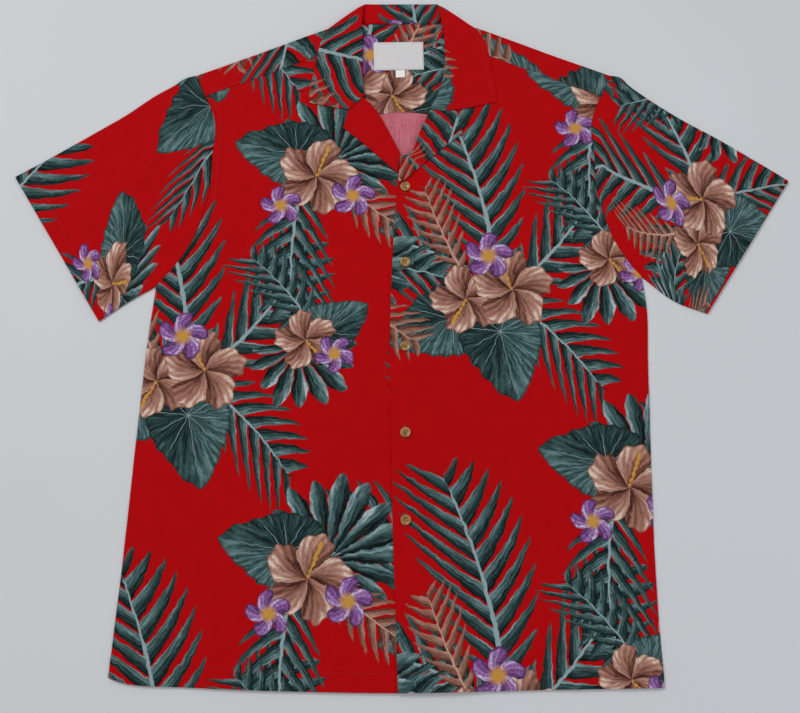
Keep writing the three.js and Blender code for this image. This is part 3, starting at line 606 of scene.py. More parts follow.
def frond(under, cloth, place, leaflets=9, bend=0.22, width=0.28, colours=PALM):
    """A feather palm frond that grows from its place along its own X."""
    base_x, base_y, angle, size = place
    cos, sin = direction(angle)
    px, py, sharp = placed(cloth, base_x + cos * size / 2, base_y + sin * size / 2, angle, size)
    px = px + 0.5
    bent = (px * px).times_plus(-bend, py + bend * 0.3)
    away = bent.abs()
    side = math_node("GREATER_THAN", bent, 0.0)
    base = (away * away).times_plus(-1.1, away.times_plus(-0.8, px))
    count = side.times_plus(0.5, base * leaflets)
    q = count.fract() - 0.5
    tau = away / (curve(base, REACH) * width)
    blade = math_node("SUBTRACT", 1.0, tau, clamp=True).power(0.5) * 0.5
    edge = (blade - q.abs()).clamped(sharp / leaflets, -0.3)
    leaf = edge * base.within(0.01, 0.97, 60)
    rib = (px.times_plus(-0.010, 0.0135) - away).clamped(sharp, 0.5)
    rib = rib * px.within(-0.0125, 0.925, 40)
    hatch = (count * (2 * math.pi * 5)).sin()
    tone = hatch.times_plus(0.06, q.times_plus(0.9, 0.42))
    tone = strokes(count * 8, away * 9).times_plus(1.15, tone - 0.75)
    tone = cloth["grain"].times_plus(0.25, tone) * edge.times_plus(0.4, 0.6)
    tone = math_node("MAXIMUM", tone, rib * 0.86)
    return blend(math_node("MAXIMUM", leaf, rib), under, ramp(tone, colours))


def fan(under, cloth, place, fingers=13):
    """A fan palm leaf: pleated fingers round its base, with a stalk."""
    px, py, sharp = placed(cloth, *place)
    px = px + 0.25
    radius, angle = polar(px, py)
    spread = 2.2
    turn = angle * (fingers / (2 * spread))
    q = (turn + 0.5).fract() - 0.5
    part = angle / spread
    tip = (turn * 2.4).sin().times_plus(0.04, (part * part).times_plus(-0.36, 0.98))
    left = math_node("SUBTRACT", tip, radius, clamp=True)
    blade = math_node("MINIMUM", left.clamped(2.4, 0.0).power(0.6) * 0.66, 0.52)
    edge = (blade - q.abs()).clamped(radius * (sharp * 2 * spread / fingers), -0.3)
    stalk = math_node("SUBTRACT", 0.018, py.abs()).clamped(sharp, 0.5)
    stalk = stalk * px.within(-0.45, 0.0125, 40)
    mask = math_node("MAXIMUM", edge * part.abs().clamped(-40, 40.5), stalk)
    tone = (turn * (2 * math.pi * 4)).sin().times_plus(0.06, q.times_plus(1.0, 0.32))
    tone = radius.times_plus(0.38, tone)
    tone = strokes_from_middle(px, py, radius, 19, 4).times_plus(1.1, tone - 0.815)
    return blend(mask, under, ramp(cloth["grain"].times_plus(0.25, tone), PALM))


def heart_leaf(under, cloth, place):
    """A heart-shaped leaf with veins from its stalk, half of it in shade."""
    px, py, sharp = placed(cloth, *place)
    px = px + 0.18
    radius, angle = polar(px, py)
    turn = angle * (1 / math.pi)
    inside = (angle * 19).sin().times_plus(0.012, curve(turn.abs(), HEART)) - radius
    spoke = (turn.times_plus(5.0, 0.5).fract() - 0.5).abs() * radius
    vein = spoke.clamped(-130, 1.35) * inside.clamped(5, 0.05)
    tone = (turn * 175).sin().times_plus(0.07, turn.clamped(9, 0.5).times_plus(0.24, 0.24))
    tone = radius.times_plus(0.32, tone)
    tone = strokes_from_middle(px, py, radius, 10, 4).times_plus(1.05, tone - 0.75)
    tone = cloth["grain"].times_plus(0.25, tone) * inside.clamped(14, 0.45)
    tone = math_node("MAXIMUM", tone, vein * 0.9)
    return blend(inside.clamped(sharp, 0.5), under, ramp(tone, PALM))


def hibiscus(under, cloth, place, stamen):
    """A five-petalled flower with ruffled edges and a long stamen."""
    px, py, sharp = placed(cloth, *place)
    radius, angle = polar(px, py)
    turn = radius.times_plus(0.35, angle * (5 / (2 * math.pi)))
    q = turn.fract() - 0.5
    half = q.abs()
    ruffle = angle.times_plus(17, radius * 7).sin()
    inside = ruffle.times_plus(0.035, (half * half).times_plus(-1.25, 0.97)) - radius
    vein = (turn * (2 * math.pi * 6)).sin() * radius
    tone = radius.times_plus(0.62, vein.times_plus(0.2, q.times_plus(0.85, 0.16)))
    tone = strokes_from_middle(px, py, radius, 6, 3).times_plus(0.9, tone - 0.575)
    tone = cloth["grain"].times_plus(0.25, tone) * inside.clamped(13, 0.4)
    cos, sin = direction(stamen)
    along = px.times_plus(cos, py * sin)
    aside = px.times_plus(-sin, py * cos)
    wide = (along * 46).sin().times_plus(0.012, along * 0.03 + 0.022)
    rod = (wide - aside.abs()).clamped(sharp, 0.5)
    rod = rod * along.within(-1 / 60, 5 / 6, 30)
    return blend(inside.clamped(sharp, 0.5), under, blend(rod, ramp(tone, TAN), GOLD))


def plumeria(under, cloth, place):
    """A small flower of five overlapping petals, gold at its heart."""
    px, py, sharp = placed(cloth, *place)
    radius, angle = polar(px, py)
    q = radius.times_plus(0.55, angle * (5 / (2 * math.pi))).fract()
    petal = math_node("MAXIMUM", (q * math.pi).sin(), 0.0).power(0.55)
    inside = petal.times_plus(0.62, 0.36) - radius
    tone = (q * 26).sin().times_plus(0.12, q.times_plus(0.8, 0.10))
    tone = cloth["grain"].times_plus(0.9, tone - 0.36) * inside.clamped(9, 0.1)
    heart = math_node("SUBTRACT", 0.40, radius).clamped(4.2, 0.0)
    return blend(inside.clamped(sharp, 0.5), under, blend(heart, ramp(tone, LILAC), GOLD))


# Motifs from the bottom one up: place of a frond's base or another's middle, direction, size, options
MOTIFS = [
    # First spray, rising
    (frond, (0.080, 0.100, -30, 0.170), {"bend": -0.26}),
    (frond, (0.074, 0.112, 148, 0.180), {"bend": 0.26}),
    (frond, (0.090, 0.116, 36, 0.200), {"bend": 0.30}),
    (frond, (0.080, 0.116, 94, 0.250), {"leaflets": 11, "bend": 0.20, "width": 0.26}),
    (heart_leaf, (0.030, 0.070, -158, 0.078), {}),
    (heart_leaf, (0.100, 0.046, -78, 0.084), {}),
    # Second spray, hanging
    (frond, (0.236, 0.352, -108, 0.190), {"leaflets": 10, "bend": 0.26}),
    (frond, (0.240, 0.356, 4, 0.150), {"leaflets": 8, "bend": -0.24, "width": 0.30}),
    (fan, (0.262, 0.382, 62, 0.094), {}),
    (heart_leaf, (0.194, 0.372, 168, 0.076), {}),
    # Third spray, small, between them
    (frond, (0.226, 0.150, 118, 0.120), {"leaflets": 8, "bend": 0.22, "width": 0.30}),
    (fan, (0.222, 0.120, -64, 0.072), {"fingers": 11}),
    (heart_leaf, (0.250, 0.160, 34, 0.062), {}),
    # Tan sprigs, then flowers
    (frond, (0.246, 0.346, -42, 0.120), {"leaflets": 8, "bend": 0.10, "width": 0.27, "colours": TAN}),
    (frond, (0.060, 0.130, 118, 0.115), {"leaflets": 8, "bend": -0.10, "width": 0.27, "colours": TAN}),
    (hibiscus, (0.060, 0.098, 20, 0.042), {"stamen": -140}),
    (hibiscus, (0.112, 0.110, 75, 0.047), {"stamen": 40}),
    (hibiscus, (0.230, 0.342, 130, 0.049), {"stamen": -60}),
    (hibiscus, (0.222, 0.146, 160, 0.036), {"stamen": 150}),
    (plumeria, (0.086, 0.150, 10, 0.029), {}),
    (plumeria, (0.272, 0.318, 80, 0.027), {}),
    (plumeria, (0.190, 0.306, 25, 0.025), {}),
    (plumeria, (0.254, 0.130, 50, 0.023), {}),
]


def print_group():
    """The print as a group: flat cloth coordinates in metres in, colour out."""
    tree = bpy.data.node_groups.new("tropical_print", "ShaderNodeTree")
    tree.interface.new_socket("Vector", in_out="INPUT", socket_type="NodeSocketVector")
    tree.interface.new_socket("Color", in_out="OUTPUT", socket_type="NodeSocketColor")
    source = Field(tree, tree.nodes.new("NodeGroupInput").outputs[0])
    wobble = separate(noise(source, 95, 2.0, 0.55, colour=True))
    x, y, _ = separate(source)
    cloth = {
        "x": wobble[0].times_plus(0.0050, x - 0.0025),
        "y": wobble[1].times_plus(0.0050, y - 0.0025),
        "grain": noise(source, 330, 2.0, 0.65),
    }
    colour = blend(noise(source, 60, 3.0), srgb(176, 2, 7), srgb(192, 4, 10))
    for motif, place, options in MOTIFS:
        colour = motif(colour, cloth, place, **options)
    add_node(tree, "NodeGroupOutput", {0: colour})
    return tree


PRINT = print_group()


# Materials

def fresh_material(name, finish):
    """A material and its shader, with the shader's constant values."""
    material = bpy.data.materials.new(name)
    material.use_nodes = True
    shader = material.node_tree.nodes["Principled BSDF"]
    for socket, value in finish.items():
        shader.inputs[socket].default_value = value
    return material, shader


def flat_coordinates(material):
    """Places on the cloth as it was cut, in metres."""
    node = add_node(material.node_tree, "ShaderNodeUVMap", {}, uv_map="flat")
    return Field(material.node_tree, node.outputs[0])


def object_coordinates(material):
    node = add_node(material.node_tree, "ShaderNodeTexCoord", {})
    return Field(material.node_tree, node.outputs["Object"])


def coat(shader, colour, height=None, strength=0.0, distance=0.0):
    """Links a shader's colour, and its normal to a bump by height."""
    links = colour.tree.links
    links.new(colour.socket, shader.inputs["Base Color"])
    if height:
        values = {"Strength": strength, "Distance": distance, "Height": height}
        node = add_node(colour.tree, "ShaderNodeBump", values)
        links.new(node.outputs[0], shader.inputs["Normal"])


def weave(vector, pitch):
    """Height of a plain weave: threads over and under each other."""
    x, y, _ = separate(vector)
    crossing = ((x * (math.pi / pitch)).sin() * (y * (math.pi / pitch)).sin()).abs()
    return noise(vector, 900, 2.0, 0.6).times_plus(0.8, crossing)


def cloth_material(name, wrong_side=False):
    """Printed cotton. On its wrong side the print is pale, under uneven threads."""
    material, shader = fresh_material(name, {
        "Roughness": 0.86, "Specular IOR Level": 0.08, "Sheen Weight": 0.012, "Sheen Roughness": 0.45,
    })
    vector = flat_coordinates(material)
    group = add_node(vector.tree, "ShaderNodeGroup", {0: vector}, node_tree=PRINT)
    colour = Field(vector.tree, group.outputs[0])
    thread = noise(vector, 1400, 1.0, 0.7)
    if wrong_side:
        x, y, _ = separate(vector)
        slubs = noise(combine(x * 700, y * 45), 1.0, 3.0, 0.7)
        slubs = noise(combine(x * 45, y * 700), 1.0, 3.0, 0.7).times_plus(0.5, slubs * 0.8)
        uneven = slubs.clamped(1.6, thread * 0.4 - 0.82)
        colour = blend(uneven, blend(0.84, colour, srgb(174, 70, 86)), srgb(218, 144, 156))
    else:
        colour = blend(thread.clamped(0.55, 0.0), colour, srgb(208, 206, 208), "MULTIPLY")
    coat(shader, colour, weave(vector, 0.00042), 0.55, 0.00008)
    return material


def thread_material(name, colour):
    material, shader = fresh_material(name, {"Roughness": 0.62, "Sheen Weight": 0.15})
    grain = noise(object_coordinates(material), 2600, 2.0, 0.6)
    dark = tuple(c * 0.6 for c in colour[:3]) + (1.0,)
    coat(shader, blend(grain, dark, colour), grain, 0.5, 0.00005)
    return material


def tape_material(name, light, dark):
    """Satin-woven tape with fine cross ribs."""
    material, shader = fresh_material(name, {"Roughness": 0.55, "Sheen Weight": 0.1})
    vector = flat_coordinates(material)
    ribs = (separate(vector)[1] * (2 * math.pi / 0.0007)).sin()
    grain = noise(vector, 700, 3.0, 0.6)
    coat(shader, blend(ribs.times_plus(0.12, grain), dark, light), ribs.times_plus(0.5, grain), 0.4, 0.00006)
    return material


def amber_material():
    """Clear amber-brown resin with cloudy streaks."""
    material, shader = fresh_material("amber_resin", {
        "Roughness": 0.16, "Transmission Weight": 0.45, "IOR": 1.5,
        "Coat Weight": 0.4, "Coat Roughness": 0.08,
    })
    vector = object_coordinates(material)
    streaks = [(0.25, srgb(140, 86, 34)), (0.5, srgb(198, 146, 70)), (0.75, srgb(232, 196, 124))]
    colour = ramp(noise(vector, 260, 3.0, 0.6), streaks)
    coat(shader, colour, noise(vector, 900, 2.0), 0.08, 0.00005)
    return material


CLOTH_OUT = cloth_material("printed_cotton")
CLOTH_IN = cloth_material("cotton_wrong_side", wrong_side=True)
RED_THREAD = thread_material("red_thread", srgb(160, 16, 20))
BUTTONHOLE_THREAD = thread_material("buttonhole_thread", srgb(128, 22, 20))
CREAM_THREAD = thread_material("cream_thread", srgb(226, 218, 196))
TAN_THREAD = thread_material("tan_thread", srgb(190, 140, 72))
LABEL_CLOTH = tape_material("label_cloth", srgb(220, 217, 217), srgb(198, 195, 196))
TAB_CLOTH = tape_material("tab_cloth", srgb(246, 246, 242), srgb(226, 226, 220))
AMBER = amber_material()


# Meshes

def new_object(name, data):
    obj = bpy.data.objects.new(name, data)
    bpy.context.scene.collection.objects.link(obj)
    return obj


def add_mesh(name, vertices, faces, uvs=None, materials=(), indices=None, merge=0.0):
    """A mesh object in garment millimetres that rides on the root body."""
    mesh = bpy.data.meshes.new(name)
    mesh.from_pydata(metres(vertices).tolist(), [], faces)
    if uvs is not None:
        layer = mesh.uv_layers.new(name="flat")
        layer.data.foreach_set("uv", np.asarray(uvs, float).ravel())
    for material in materials:
        mesh.materials.append(material)
    if indices is not None:
        mesh.polygons.foreach_set("material_index", indices)
    work = bmesh.new()
    work.from_mesh(mesh)
    if merge:
        bmesh.ops.remove_doubles(work, verts=work.verts, dist=merge)
        bmesh.ops.dissolve_degenerate(work, edges=work.edges, dist=merge)
    if work.calc_volume(signed=True) < 0:
        bmesh.ops.reverse_faces(work, faces=work.faces)
    work.to_mesh(mesh)
    work.free()
    mesh.polygons.foreach_set("use_smooth", [True] * len(mesh.polygons))
    obj = new_object(name, mesh)
    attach(obj, "root")
    return obj


def shell(name, top, low, uv, outside, inside, wrap=False, active=None, merge=0.0):
    """Closed thin cloth between two grids of points, over the cells where active says so.

    wrap joins the last column to the first.
    """
    rows, columns = top.shape[:2]
    cells = columns if wrap else columns - 1
    used = {}
    points, faces, corners, indices = [], [], [], []

    def at(side, i, j):
        key = (side, i, j % columns)
        if key not in used:
            used[key] = len(points)
            points.append((top, low)[side][i, j % columns])
        return used[key]

    def on(i, j):
        j = j % columns if wrap else j
        return 0 <= i < rows - 1 and 0 <= j < cells and (active is None or active(i, j))

    def add(cell, index):
        faces.append([at(*corner) for corner in cell])
        corners.extend(uv[i, j] for _, i, j in cell)
        indices.append(index)

    for i in range(rows - 1):
        for j in range(cells):
            if not on(i, j):
                continue
            a, b, c, d = (i, j), (i, j + 1), (i + 1, j + 1), (i + 1, j)
            add([(0, *p) for p in (a, b, c, d)], 0)
            add([(1, *p) for p in (d, c, b, a)], 1)
            sides = (((i - 1, j), b, a), ((i + 1, j), d, c), ((i, j - 1), a, d), ((i, j + 1), c, b))
            for neighbour, p, q in sides:
                if not on(*neighbour):
                    add([(0, *p), (0, *q), (1, *q), (1, *p)], 0)
    return add_mesh(name, points, faces, corners, (outside, inside), indices, merge)


def shell_round(name, middle, normal, uv, inside, active=None, merge=0.0):
    """Cloth of the usual thickness round a grid through its middle."""
    half = normal * CLOTH / 2
    return shell(name, middle + half, middle - half, uv, CLOTH_OUT, inside, active=active, merge=merge)


def threads(name, starts, ends, material, width=0.42, height=0.3, sink=0.1):
    """Short stitches, each a small closed spindle from one point to another."""
    vertices, faces = [], []
    for a, b in zip(np.asarray(starts, float), np.asarray(ends, float)):
        along = b - a
        across = np.array([-along[1], along[0], 0.0])
        across *= width / 2 / max(1e-6, norm(across))
        up = np.array([0, 0, height])
        k = len(vertices)
        vertices.append(a - (0, 0, sink))
        for t in (0.18, 0.82):
            middle = a + along * t
            vertices.extend([middle + across, middle + up, middle - across, middle - (0, 0, sink)])
        vertices.append(b - (0, 0, sink))
        for s in range(4):
            n = (s + 1) % 4
            faces.append((k, k + 1 + n, k + 1 + s))
            faces.append((k + 1 + s, k + 1 + n, k + 5 + n, k + 5 + s))
            faces.append((k + 9, k + 5 + s, k + 5 + n))
    return add_mesh(name, vertices, faces, None, (material,))


def seam_stitches(name, points, pitch=2.7, material=RED_THREAD, height=STITCH_HEIGHT, **sizes):
    """A row of stitches along a line of points in space."""
    share = 0.72
    along = lengths_along(points)
    count = max(2, int(along[-1] / pitch))
    middle = (np.arange(count) + 0.5) / count
    half = share / 2 / count

    def at(t):
        return np.stack([np.interp(t * along[-1], along, column) for column in np.transpose(points)], -1)

    return threads(name, at(middle - half), at(middle + half), material, height=height, **sizes)


def laid(path, height_at, step=1.3):
    """A plan path with close points, on a surface given by its height."""
    line = Line(path)
    xy = line.at(np.linspace(0, 1, max(3, int(line.total / step))))
    return np.column_stack([xy, height_at(xy[:, 0], xy[:, 1])])


def offset_path(points, amount):
    """A plan path moved to its left by an amount."""
    p = np.array(points, float)
    t = np.gradient(p, axis=0)
    t /= norm(t, axis=1)[:, None]
    return p + np.column_stack([-t[:, 1], t[:, 0]]) * amount


# Edges of the body

def armhole(sign):
    """From the shoulder down to the underarm."""
    return rounded([(sign * half, y) for half, y in ARMHOLE] + [SIDES[sign]["seam"][0]])


def side_edge(sign, top_y):
    """From the hem up the side seam, then up the armhole to a height."""
    seam = rounded(SIDES[sign]["seam"][::-1])
    arm = armhole(sign)[::-1]
    below = arm[arm[:, 1] < top_y]
    top = [np.interp(top_y, arm[:, 1], arm[:, 0]), top_y]
    return Line(np.vstack([seam, below[1:], top]))


def seam_shape(x, y, sign, far_top):
    """Drop of the upper layer to the side seam, and the armhole seam's groove and allowance."""
    side = line_distance(rounded(SIDES[sign]["seam"]), x, y)
    hole = line_distance(armhole(sign), x, y)
    drop = -np.maximum(far_top - 1.25, 0) * fade(side / 5.5) ** 1.5
    allowance = 0.28 * fade((hole - SEAM_ALLOWANCE) / 2.5)
    ripples = pucker(y, hole, 6, 0.10) + pucker(y, side, 8, 0.12)
    return drop - SEAM_GROOVE * bell(hole, 1.5) + allowance + ripples


def hem_step(up):
    """1 on the turned-up hem, then a short fall to 0 at its inner edge."""
    return fade((up - HEM_DEPTH + 0.5) / 1.6)


def hem_shape(along, up):
    """The turned-up hem: thicker cloth, its stitched edge and the ripples beside it."""
    relief = HEM_EXTRA * hem_step(up) - 0.32 * bell(up - HEM_ROW, 1.1)
    relief -= 0.35 * bell(np.maximum(up, 0), 0.8)
    return relief + pucker(along, up - HEM_ROW, 8, 0.12)


def hem_band(x, y):
    return hem_shape(x, above_hem(x, y))


def shoulder_frame(sign):
    neck = np.array([sign * NECK_HALF, NECK_Y])
    arm = np.array([sign * SHOULDER_HALF, SHOULDER_Y])
    along = (arm - neck) / norm(arm - neck)
    inward = np.array([-sign * abs(along[1]), -abs(along[0])])
    return neck, arm, inward


def front_top(sign):
    """Height of a front's upper surface."""
    lap = rounded(UNDER_EDGE if sign < 0 else UPPER_EDGE)

    def height(x, y):
        top = FLOORS[sign](x, y) + WALL
        z = top + creases(x, y) + hem_band(x, y) + seam_shape(x, y, sign, top)
        away = line_distance(lap, x, y)
        z += -0.35 * bell(away, 0.9) + 0.16 * fade((away - FACING_WIDTH) / 4)
        return z + pucker(y, away - 1, 5, 0.07)

    return height


def make_front(sign, name, node, inner_rows, offset):
    neck, _, inward = shoulder_frame(sign)
    drop = YOKE_FRONT_DEPTH - 1.5
    outer = side_edge(sign, SHOULDER_Y - drop * 0.94)
    inner = Line(np.vstack([rounded(inner_rows), neck + inward * drop]))
    hem = rounded(HEM)
    if sign < 0:
        hem = hem[::-1]
    ahead = sign * hem[:, 0] > sign * inner.at(0.0)[0] + 4
    bottom = Line(np.vstack([inner.at(0.0), hem[ahead]]))
    top = Line([inner.at(1.0), outer.at(1.0)])
    us = spaced(bottom.total, 3.3)
    vs = spaced(outer.total, 3.4, near=HEM_STATIONS, end=False)
    x, y, _, v = patch_grid(bottom, top, inner, outer, us, vs)
    # The top edge goes in under the yoke's strip
    z = front_top(sign)(x, y) - 0.5 * fade(((1 - v) * outer.total - 0.4) / 2.2)
    thick = CLOTH + hem_band(x, y).clip(0)
    upper, lower = np.dstack([x, y, z]), np.dstack([x, y, z - thick])
    uv = np.dstack([x / 1000 + offset[0], y / 1000 + offset[1]])
    if sign < 0:
        upper, lower, uv = upper[:, ::-1], lower[:, ::-1], uv[:, ::-1]
    obj = shell(name, upper, lower, uv, CLOTH_OUT, CLOTH_IN)
    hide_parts(node)
    return obj


def make_back():
    left, right = side_edge(-1, YOKE_SEAM_Y - 0.3), side_edge(1, YOKE_SEAM_Y - 0.3)
    bottom = Line(rounded(HEM))
    top = Line([left.at(1.0), right.at(1.0)])
    us = spaced(bottom.total, 5.5)
    vs = spaced(left.total, 5.5, near=BACK_HEM_STATIONS, end=False)
    x, y, _, _ = patch_grid(bottom, top, left, right, us, vs)
    up = above_hem(x, y)
    low = 0.02 + 0.05 * (1 + np.sin(x / 23 + 0.8 * np.sin(y / 31))) * smooth(up / 30)
    low += back_floor(x, y) + 0.22 * bell(y - YOKE_SEAM_Y, 1.4) + 0.2 * bell(up - HEM_ROW, 0.9)
    high = low + CLOTH + HEM_EXTRA * hem_step(up) + np.abs(creases(x, y)) * 0.25
    uv = np.dstack([x / 1000 + 0.09, y / 1000 + 0.17])
    obj = shell("back_cloth", np.dstack([x, y, high]), np.dstack([x, y, low]), uv, CLOTH_IN, CLOTH_OUT)
    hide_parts("back_body")
    return obj


# Sleeves

def sleeve_top(sign):
    """Height of a sleeve's upper surface away from its folded edges."""

    def height(x, y, along):
        hole = line_distance(armhole(sign), x, y)
        z = front_floor(x, y) + WALL + creases(x, y) - SEAM_GROOVE * bell(hole, 1.5)
        return z + hem_shape(x * 0.6 + y, along) + pucker(y, hole, 9, 0.18)

    return height


def sleeve_plan(sign):
    side = SIDES[sign]
    arm = Line(armhole(sign))
    cuff = Line(side["cuff"])
    top = Line(rounded([(sign * ARMHOLE[0][0], ARMHOLE[0][1])] + side["top"] + [side["cuff"][0]]))
    under = Line(rounded([side["seam"][0], side["under"], side["cuff"][1]]))
    return patch(top, under, arm, cuff), top, under, cuff


def sleeve_fold(plan, s, end, reach, tops, turn):
    """A half-round fold at one edge of a sleeve's section, from its first height to its second."""
    here = plan(s, float(end))
    inward = plan(s, 0.02 if end == 0 else 0.98) - here
    inward *= reach / norm(inward)
    return turned(here + inward, -inward, *tops, turn)


def make_sleeve(sign, name, node, offset):
    """A flat tube, one ring of points for each station from the armhole to the cuff.

    A ring runs from the underarm under the sleeve to its top fold, then over it back to the underarm.
    """
    plan, top, _, _ = sleeve_plan(sign)
    reach = 1.9
    stations = 1 - spaced(top.total, 3.6, near=HEM_STATIONS, end=False)[::-1]
    leaf = spaced(Line(armhole(sign)).total, 3.6, near=(1.2, 2.6, 4.2))
    height = sleeve_top(sign)
    turn = np.radians(np.linspace(0, 180, 9)[1:-1])
    nb, nt = len(leaf), len(turn)
    outer_rows, inner_rows, uv_rows = [], [], []
    for s in stations:
        first, last = plan(s, 0.0), plan(s, 1.0)
        margin = reach / norm(last - first)
        ts = np.unique(np.clip(leaf, margin, 1 - margin))
        if len(ts) != nb:
            ts = np.interp(np.linspace(0, 1, nb), np.linspace(0, 1, len(ts)), ts)
        x, y = plan(np.full(nb, s), ts).T
        from_cuff = (1 - s) * top.total
        high = height(x, y, np.full(nb, from_cuff))
        low = back_floor(x, y) + 0.02 + 0.25 * bell(line_distance(armhole(sign), x, y), 1.6)
        low += 0.2 * bell(from_cuff - HEM_ROW, 0.9)
        ring = np.vstack([
            np.column_stack([x, y, low])[::-1],
            sleeve_fold(plan, s, 0, reach, (low[0], high[0]), turn),
            np.column_stack([x, y, high]),
            sleeve_fold(plan, s, 1, reach, (high[-1], low[-1]), turn),
        ])
        outer_rows.append(ring)
        around = lengths_along(np.vstack([ring, ring[:1]]))
        around -= around[nb + nt // 2]
        down = np.full(len(around), -s * top.total / 1000 + offset[1])
        uv_rows.append(np.column_stack([-sign * around / 1000 + offset[0], down]))
        thick = CLOTH + 0.5 * hem_step(from_cuff)
        inner = ring.copy()
        inner[:nb, 2] += thick
        inner[nb + nt:2 * nb + nt, 2] -= thick
        for start, here in ((nb, first), (2 * nb + nt, last)):
            inward = plan(s, 0.5) - here
            inward /= norm(inward)
            part = inner[start:start + nt]
            middle = part[:, 2].mean()
            part[:, :2] += inward * thick * np.sin(turn)[:, None]
            part[:, 2] = middle + (part[:, 2] - middle) * max(0.15, 1 - thick / 1.2)
        inner_rows.append(inner)
    outer, inner, uv = np.array(outer_rows), np.array(inner_rows), np.array(uv_rows)
    obj = shell(name, outer, inner, uv, CLOTH_OUT, CLOTH_IN, wrap=True)
    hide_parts(node)
    return obj


# Yoke

# Places along it: up the back, round the shoulder's fold and down the strip, and the strip's stitches
YOKE_STEPS = np.linspace(0, 1, 26)
SHOULDER_TURN = np.radians(np.linspace(0, 180, 11)[1:-1])
STRIP_DEPTHS = np.array([1.85, 3.4, 5.5, 8, 11, 14, 17, 20, 23, 25.5, 27.5, 28.8, 29.5, 30])
STRIP_ROW = YOKE_FRONT_DEPTH - 2.4


def strip_height(sign, x, y, inset):
    """Height of the middle of the yoke's strip on a front, at a depth below the shoulder's fold."""
    z = back_floor(x, y) + 2 * PLY + LINING_EASE + WALL - CLOTH / 2
    z = z + creases(x, y) + 0.45 * smooth((inset - 12) / 14)
    z -= 0.45 * bell(YOKE_FRONT_DEPTH - inset, 0.7)
    z -= 0.25 * bell(STRIP_ROW - inset, 0.8)
    z += pucker(x * 0.95 + y * 0.3, YOKE_FRONT_DEPTH - 2 - inset, 7, 0.12)
    hole = line_distance(armhole(sign), x, y)
    return z - 0.5 * bell(hole, 1.5) + 0.2 * fade((hole - SEAM_ALLOWANCE) / 2.5)


def yoke_column(sign, t, low_x):
    """Points from the back seam up to a place on the shoulder's fold, or on the neck seam where sign is 0."""
    if sign:
        neck, arm, inward = shoulder_frame(sign)
        on_fold = mix(neck, arm, t)
        high = on_fold + inward * STRIP_DEPTHS[0]
    else:
        x = t * NECK_HALF
        rise = smooth((NECK_HALF - abs(x)) / (NECK_HALF - NECK_MIDDLE_HALF))
        high = np.array([x, mix(NECK_Y - 1.4, NECK_MIDDLE_Y, rise)])
    low = np.array([low_x, YOKE_SEAM_Y - 0.4])
    back = low + (high - low) * YOKE_STEPS[:, None]
    z = back_floor(back[:, 0], back[:, 1]) + CLOTH / 2 + 0.03 + 0.15 * bell(back[:, 1] - YOKE_SEAM_Y, 1.6)
    back = np.column_stack([back, z])
    if sign == 0:
        return np.vstack([back, np.tile(back[-1], (len(SHOULDER_TURN) + len(STRIP_DEPTHS), 1))])
    strip = on_fold + inward * STRIP_DEPTHS[:, None]
    strip_z = strip_height(sign, strip[:, 0], strip[:, 1], STRIP_DEPTHS)
    fold = turned(high, -1.35 * inward, z[-1], strip_z[0], SHOULDER_TURN)
    return np.vstack([back, fold, np.column_stack([strip, strip_z])])


def make_yoke():
    """The outer yoke: back leaf, shoulder folds and the strips on the fronts."""
    per_shoulder, per_neck = 46, 36
    places = [(-1, t) for t in np.linspace(1, 0, per_shoulder)]
    places += [(0, t) for t in np.linspace(-1, 1, per_neck + 2)[1:-1]]
    places += [(1, t) for t in np.linspace(0, 1, per_shoulder)]
    low_xs = np.linspace(-1, 1, len(places)) * (YOKE_SEAM_HALF - 0.1)
    grid = np.stack([yoke_column(*place, x) for place, x in zip(places, low_xs)], 1)
    uv = np.dstack([grid[..., 0] / 1000 + 0.21, lengths_along(grid) / 1000 + 0.61])

    def active(i, j):
        return i < len(YOKE_STEPS) - 1 or not per_shoulder - 1 <= j < per_shoulder + per_neck

    obj = shell_round("yoke_cloth", grid, -surface_normals(grid), uv, CLOTH_IN, active)
    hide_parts("yoke_outer")
    return obj


def surface_normals(grid, least=0.0):
    """Normals of a grid of points. Where a cell is smaller than least, it is the nearest one's in its row."""
    normal = np.cross(np.gradient(grid, axis=1), np.gradient(grid, axis=0))
    length = norm(normal, axis=2)
    normal /= np.maximum(length, 1e-9)[..., None]
    for i, j in np.argwhere(length < least):
        known = np.flatnonzero(length[i] >= least)
        normal[i, j] = normal[i, known[np.argmin(np.abs(known - j))]]
    return normal


# Yoke lining

def lining_top(x, y):
    return lining_floor(x, y) + WALL + creases(x, y) * 0.9


def make_lining():
    left, right = shoulder_frame(-1), shoulder_frame(1)
    clear = 3.2
    left_neck, left_arm = (p + left[2] * clear for p in left[:2])
    right_neck, right_arm = (p + right[2] * clear for p in right[:2])
    neck = rounded([
        left_neck, (-66, 765.2), (-NECK_MIDDLE_HALF, 766.5), (0, 767.0),
        (NECK_MIDDLE_HALF, 766.5), (66, 765.2), right_neck,
    ])
    bottom = Line(rounded(LINING_EDGE))
    top = Line(np.vstack([left_arm, neck, right_arm]))
    left, right = (Line([bottom.at(end), top.at(end)]) for end in (0.0, 1.0))
    x, y, _, v = patch_grid(bottom, top, left, right, np.linspace(0, 1, 120), spaced(110, 4.0))
    z = lining_top(x, y)
    inside = v * (NECK_Y - YOKE_SEAM_Y)
    z -= 0.35 * bell(inside, 0.9) + LINING_DROP * bell(inside, 3.5)
    z += pucker(x, inside, 6, 0.1)
    uv = np.dstack([-x / 1000 + 0.047, y / 1000 + 0.335])
    upper, lower = np.dstack([x, y, z]), np.dstack([x, y, z - CLOTH])
    obj = shell("yoke_lining_cloth", upper, lower, uv, CLOTH_OUT, CLOTH_IN)
    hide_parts("yoke_lining")
    return obj


# Lapels

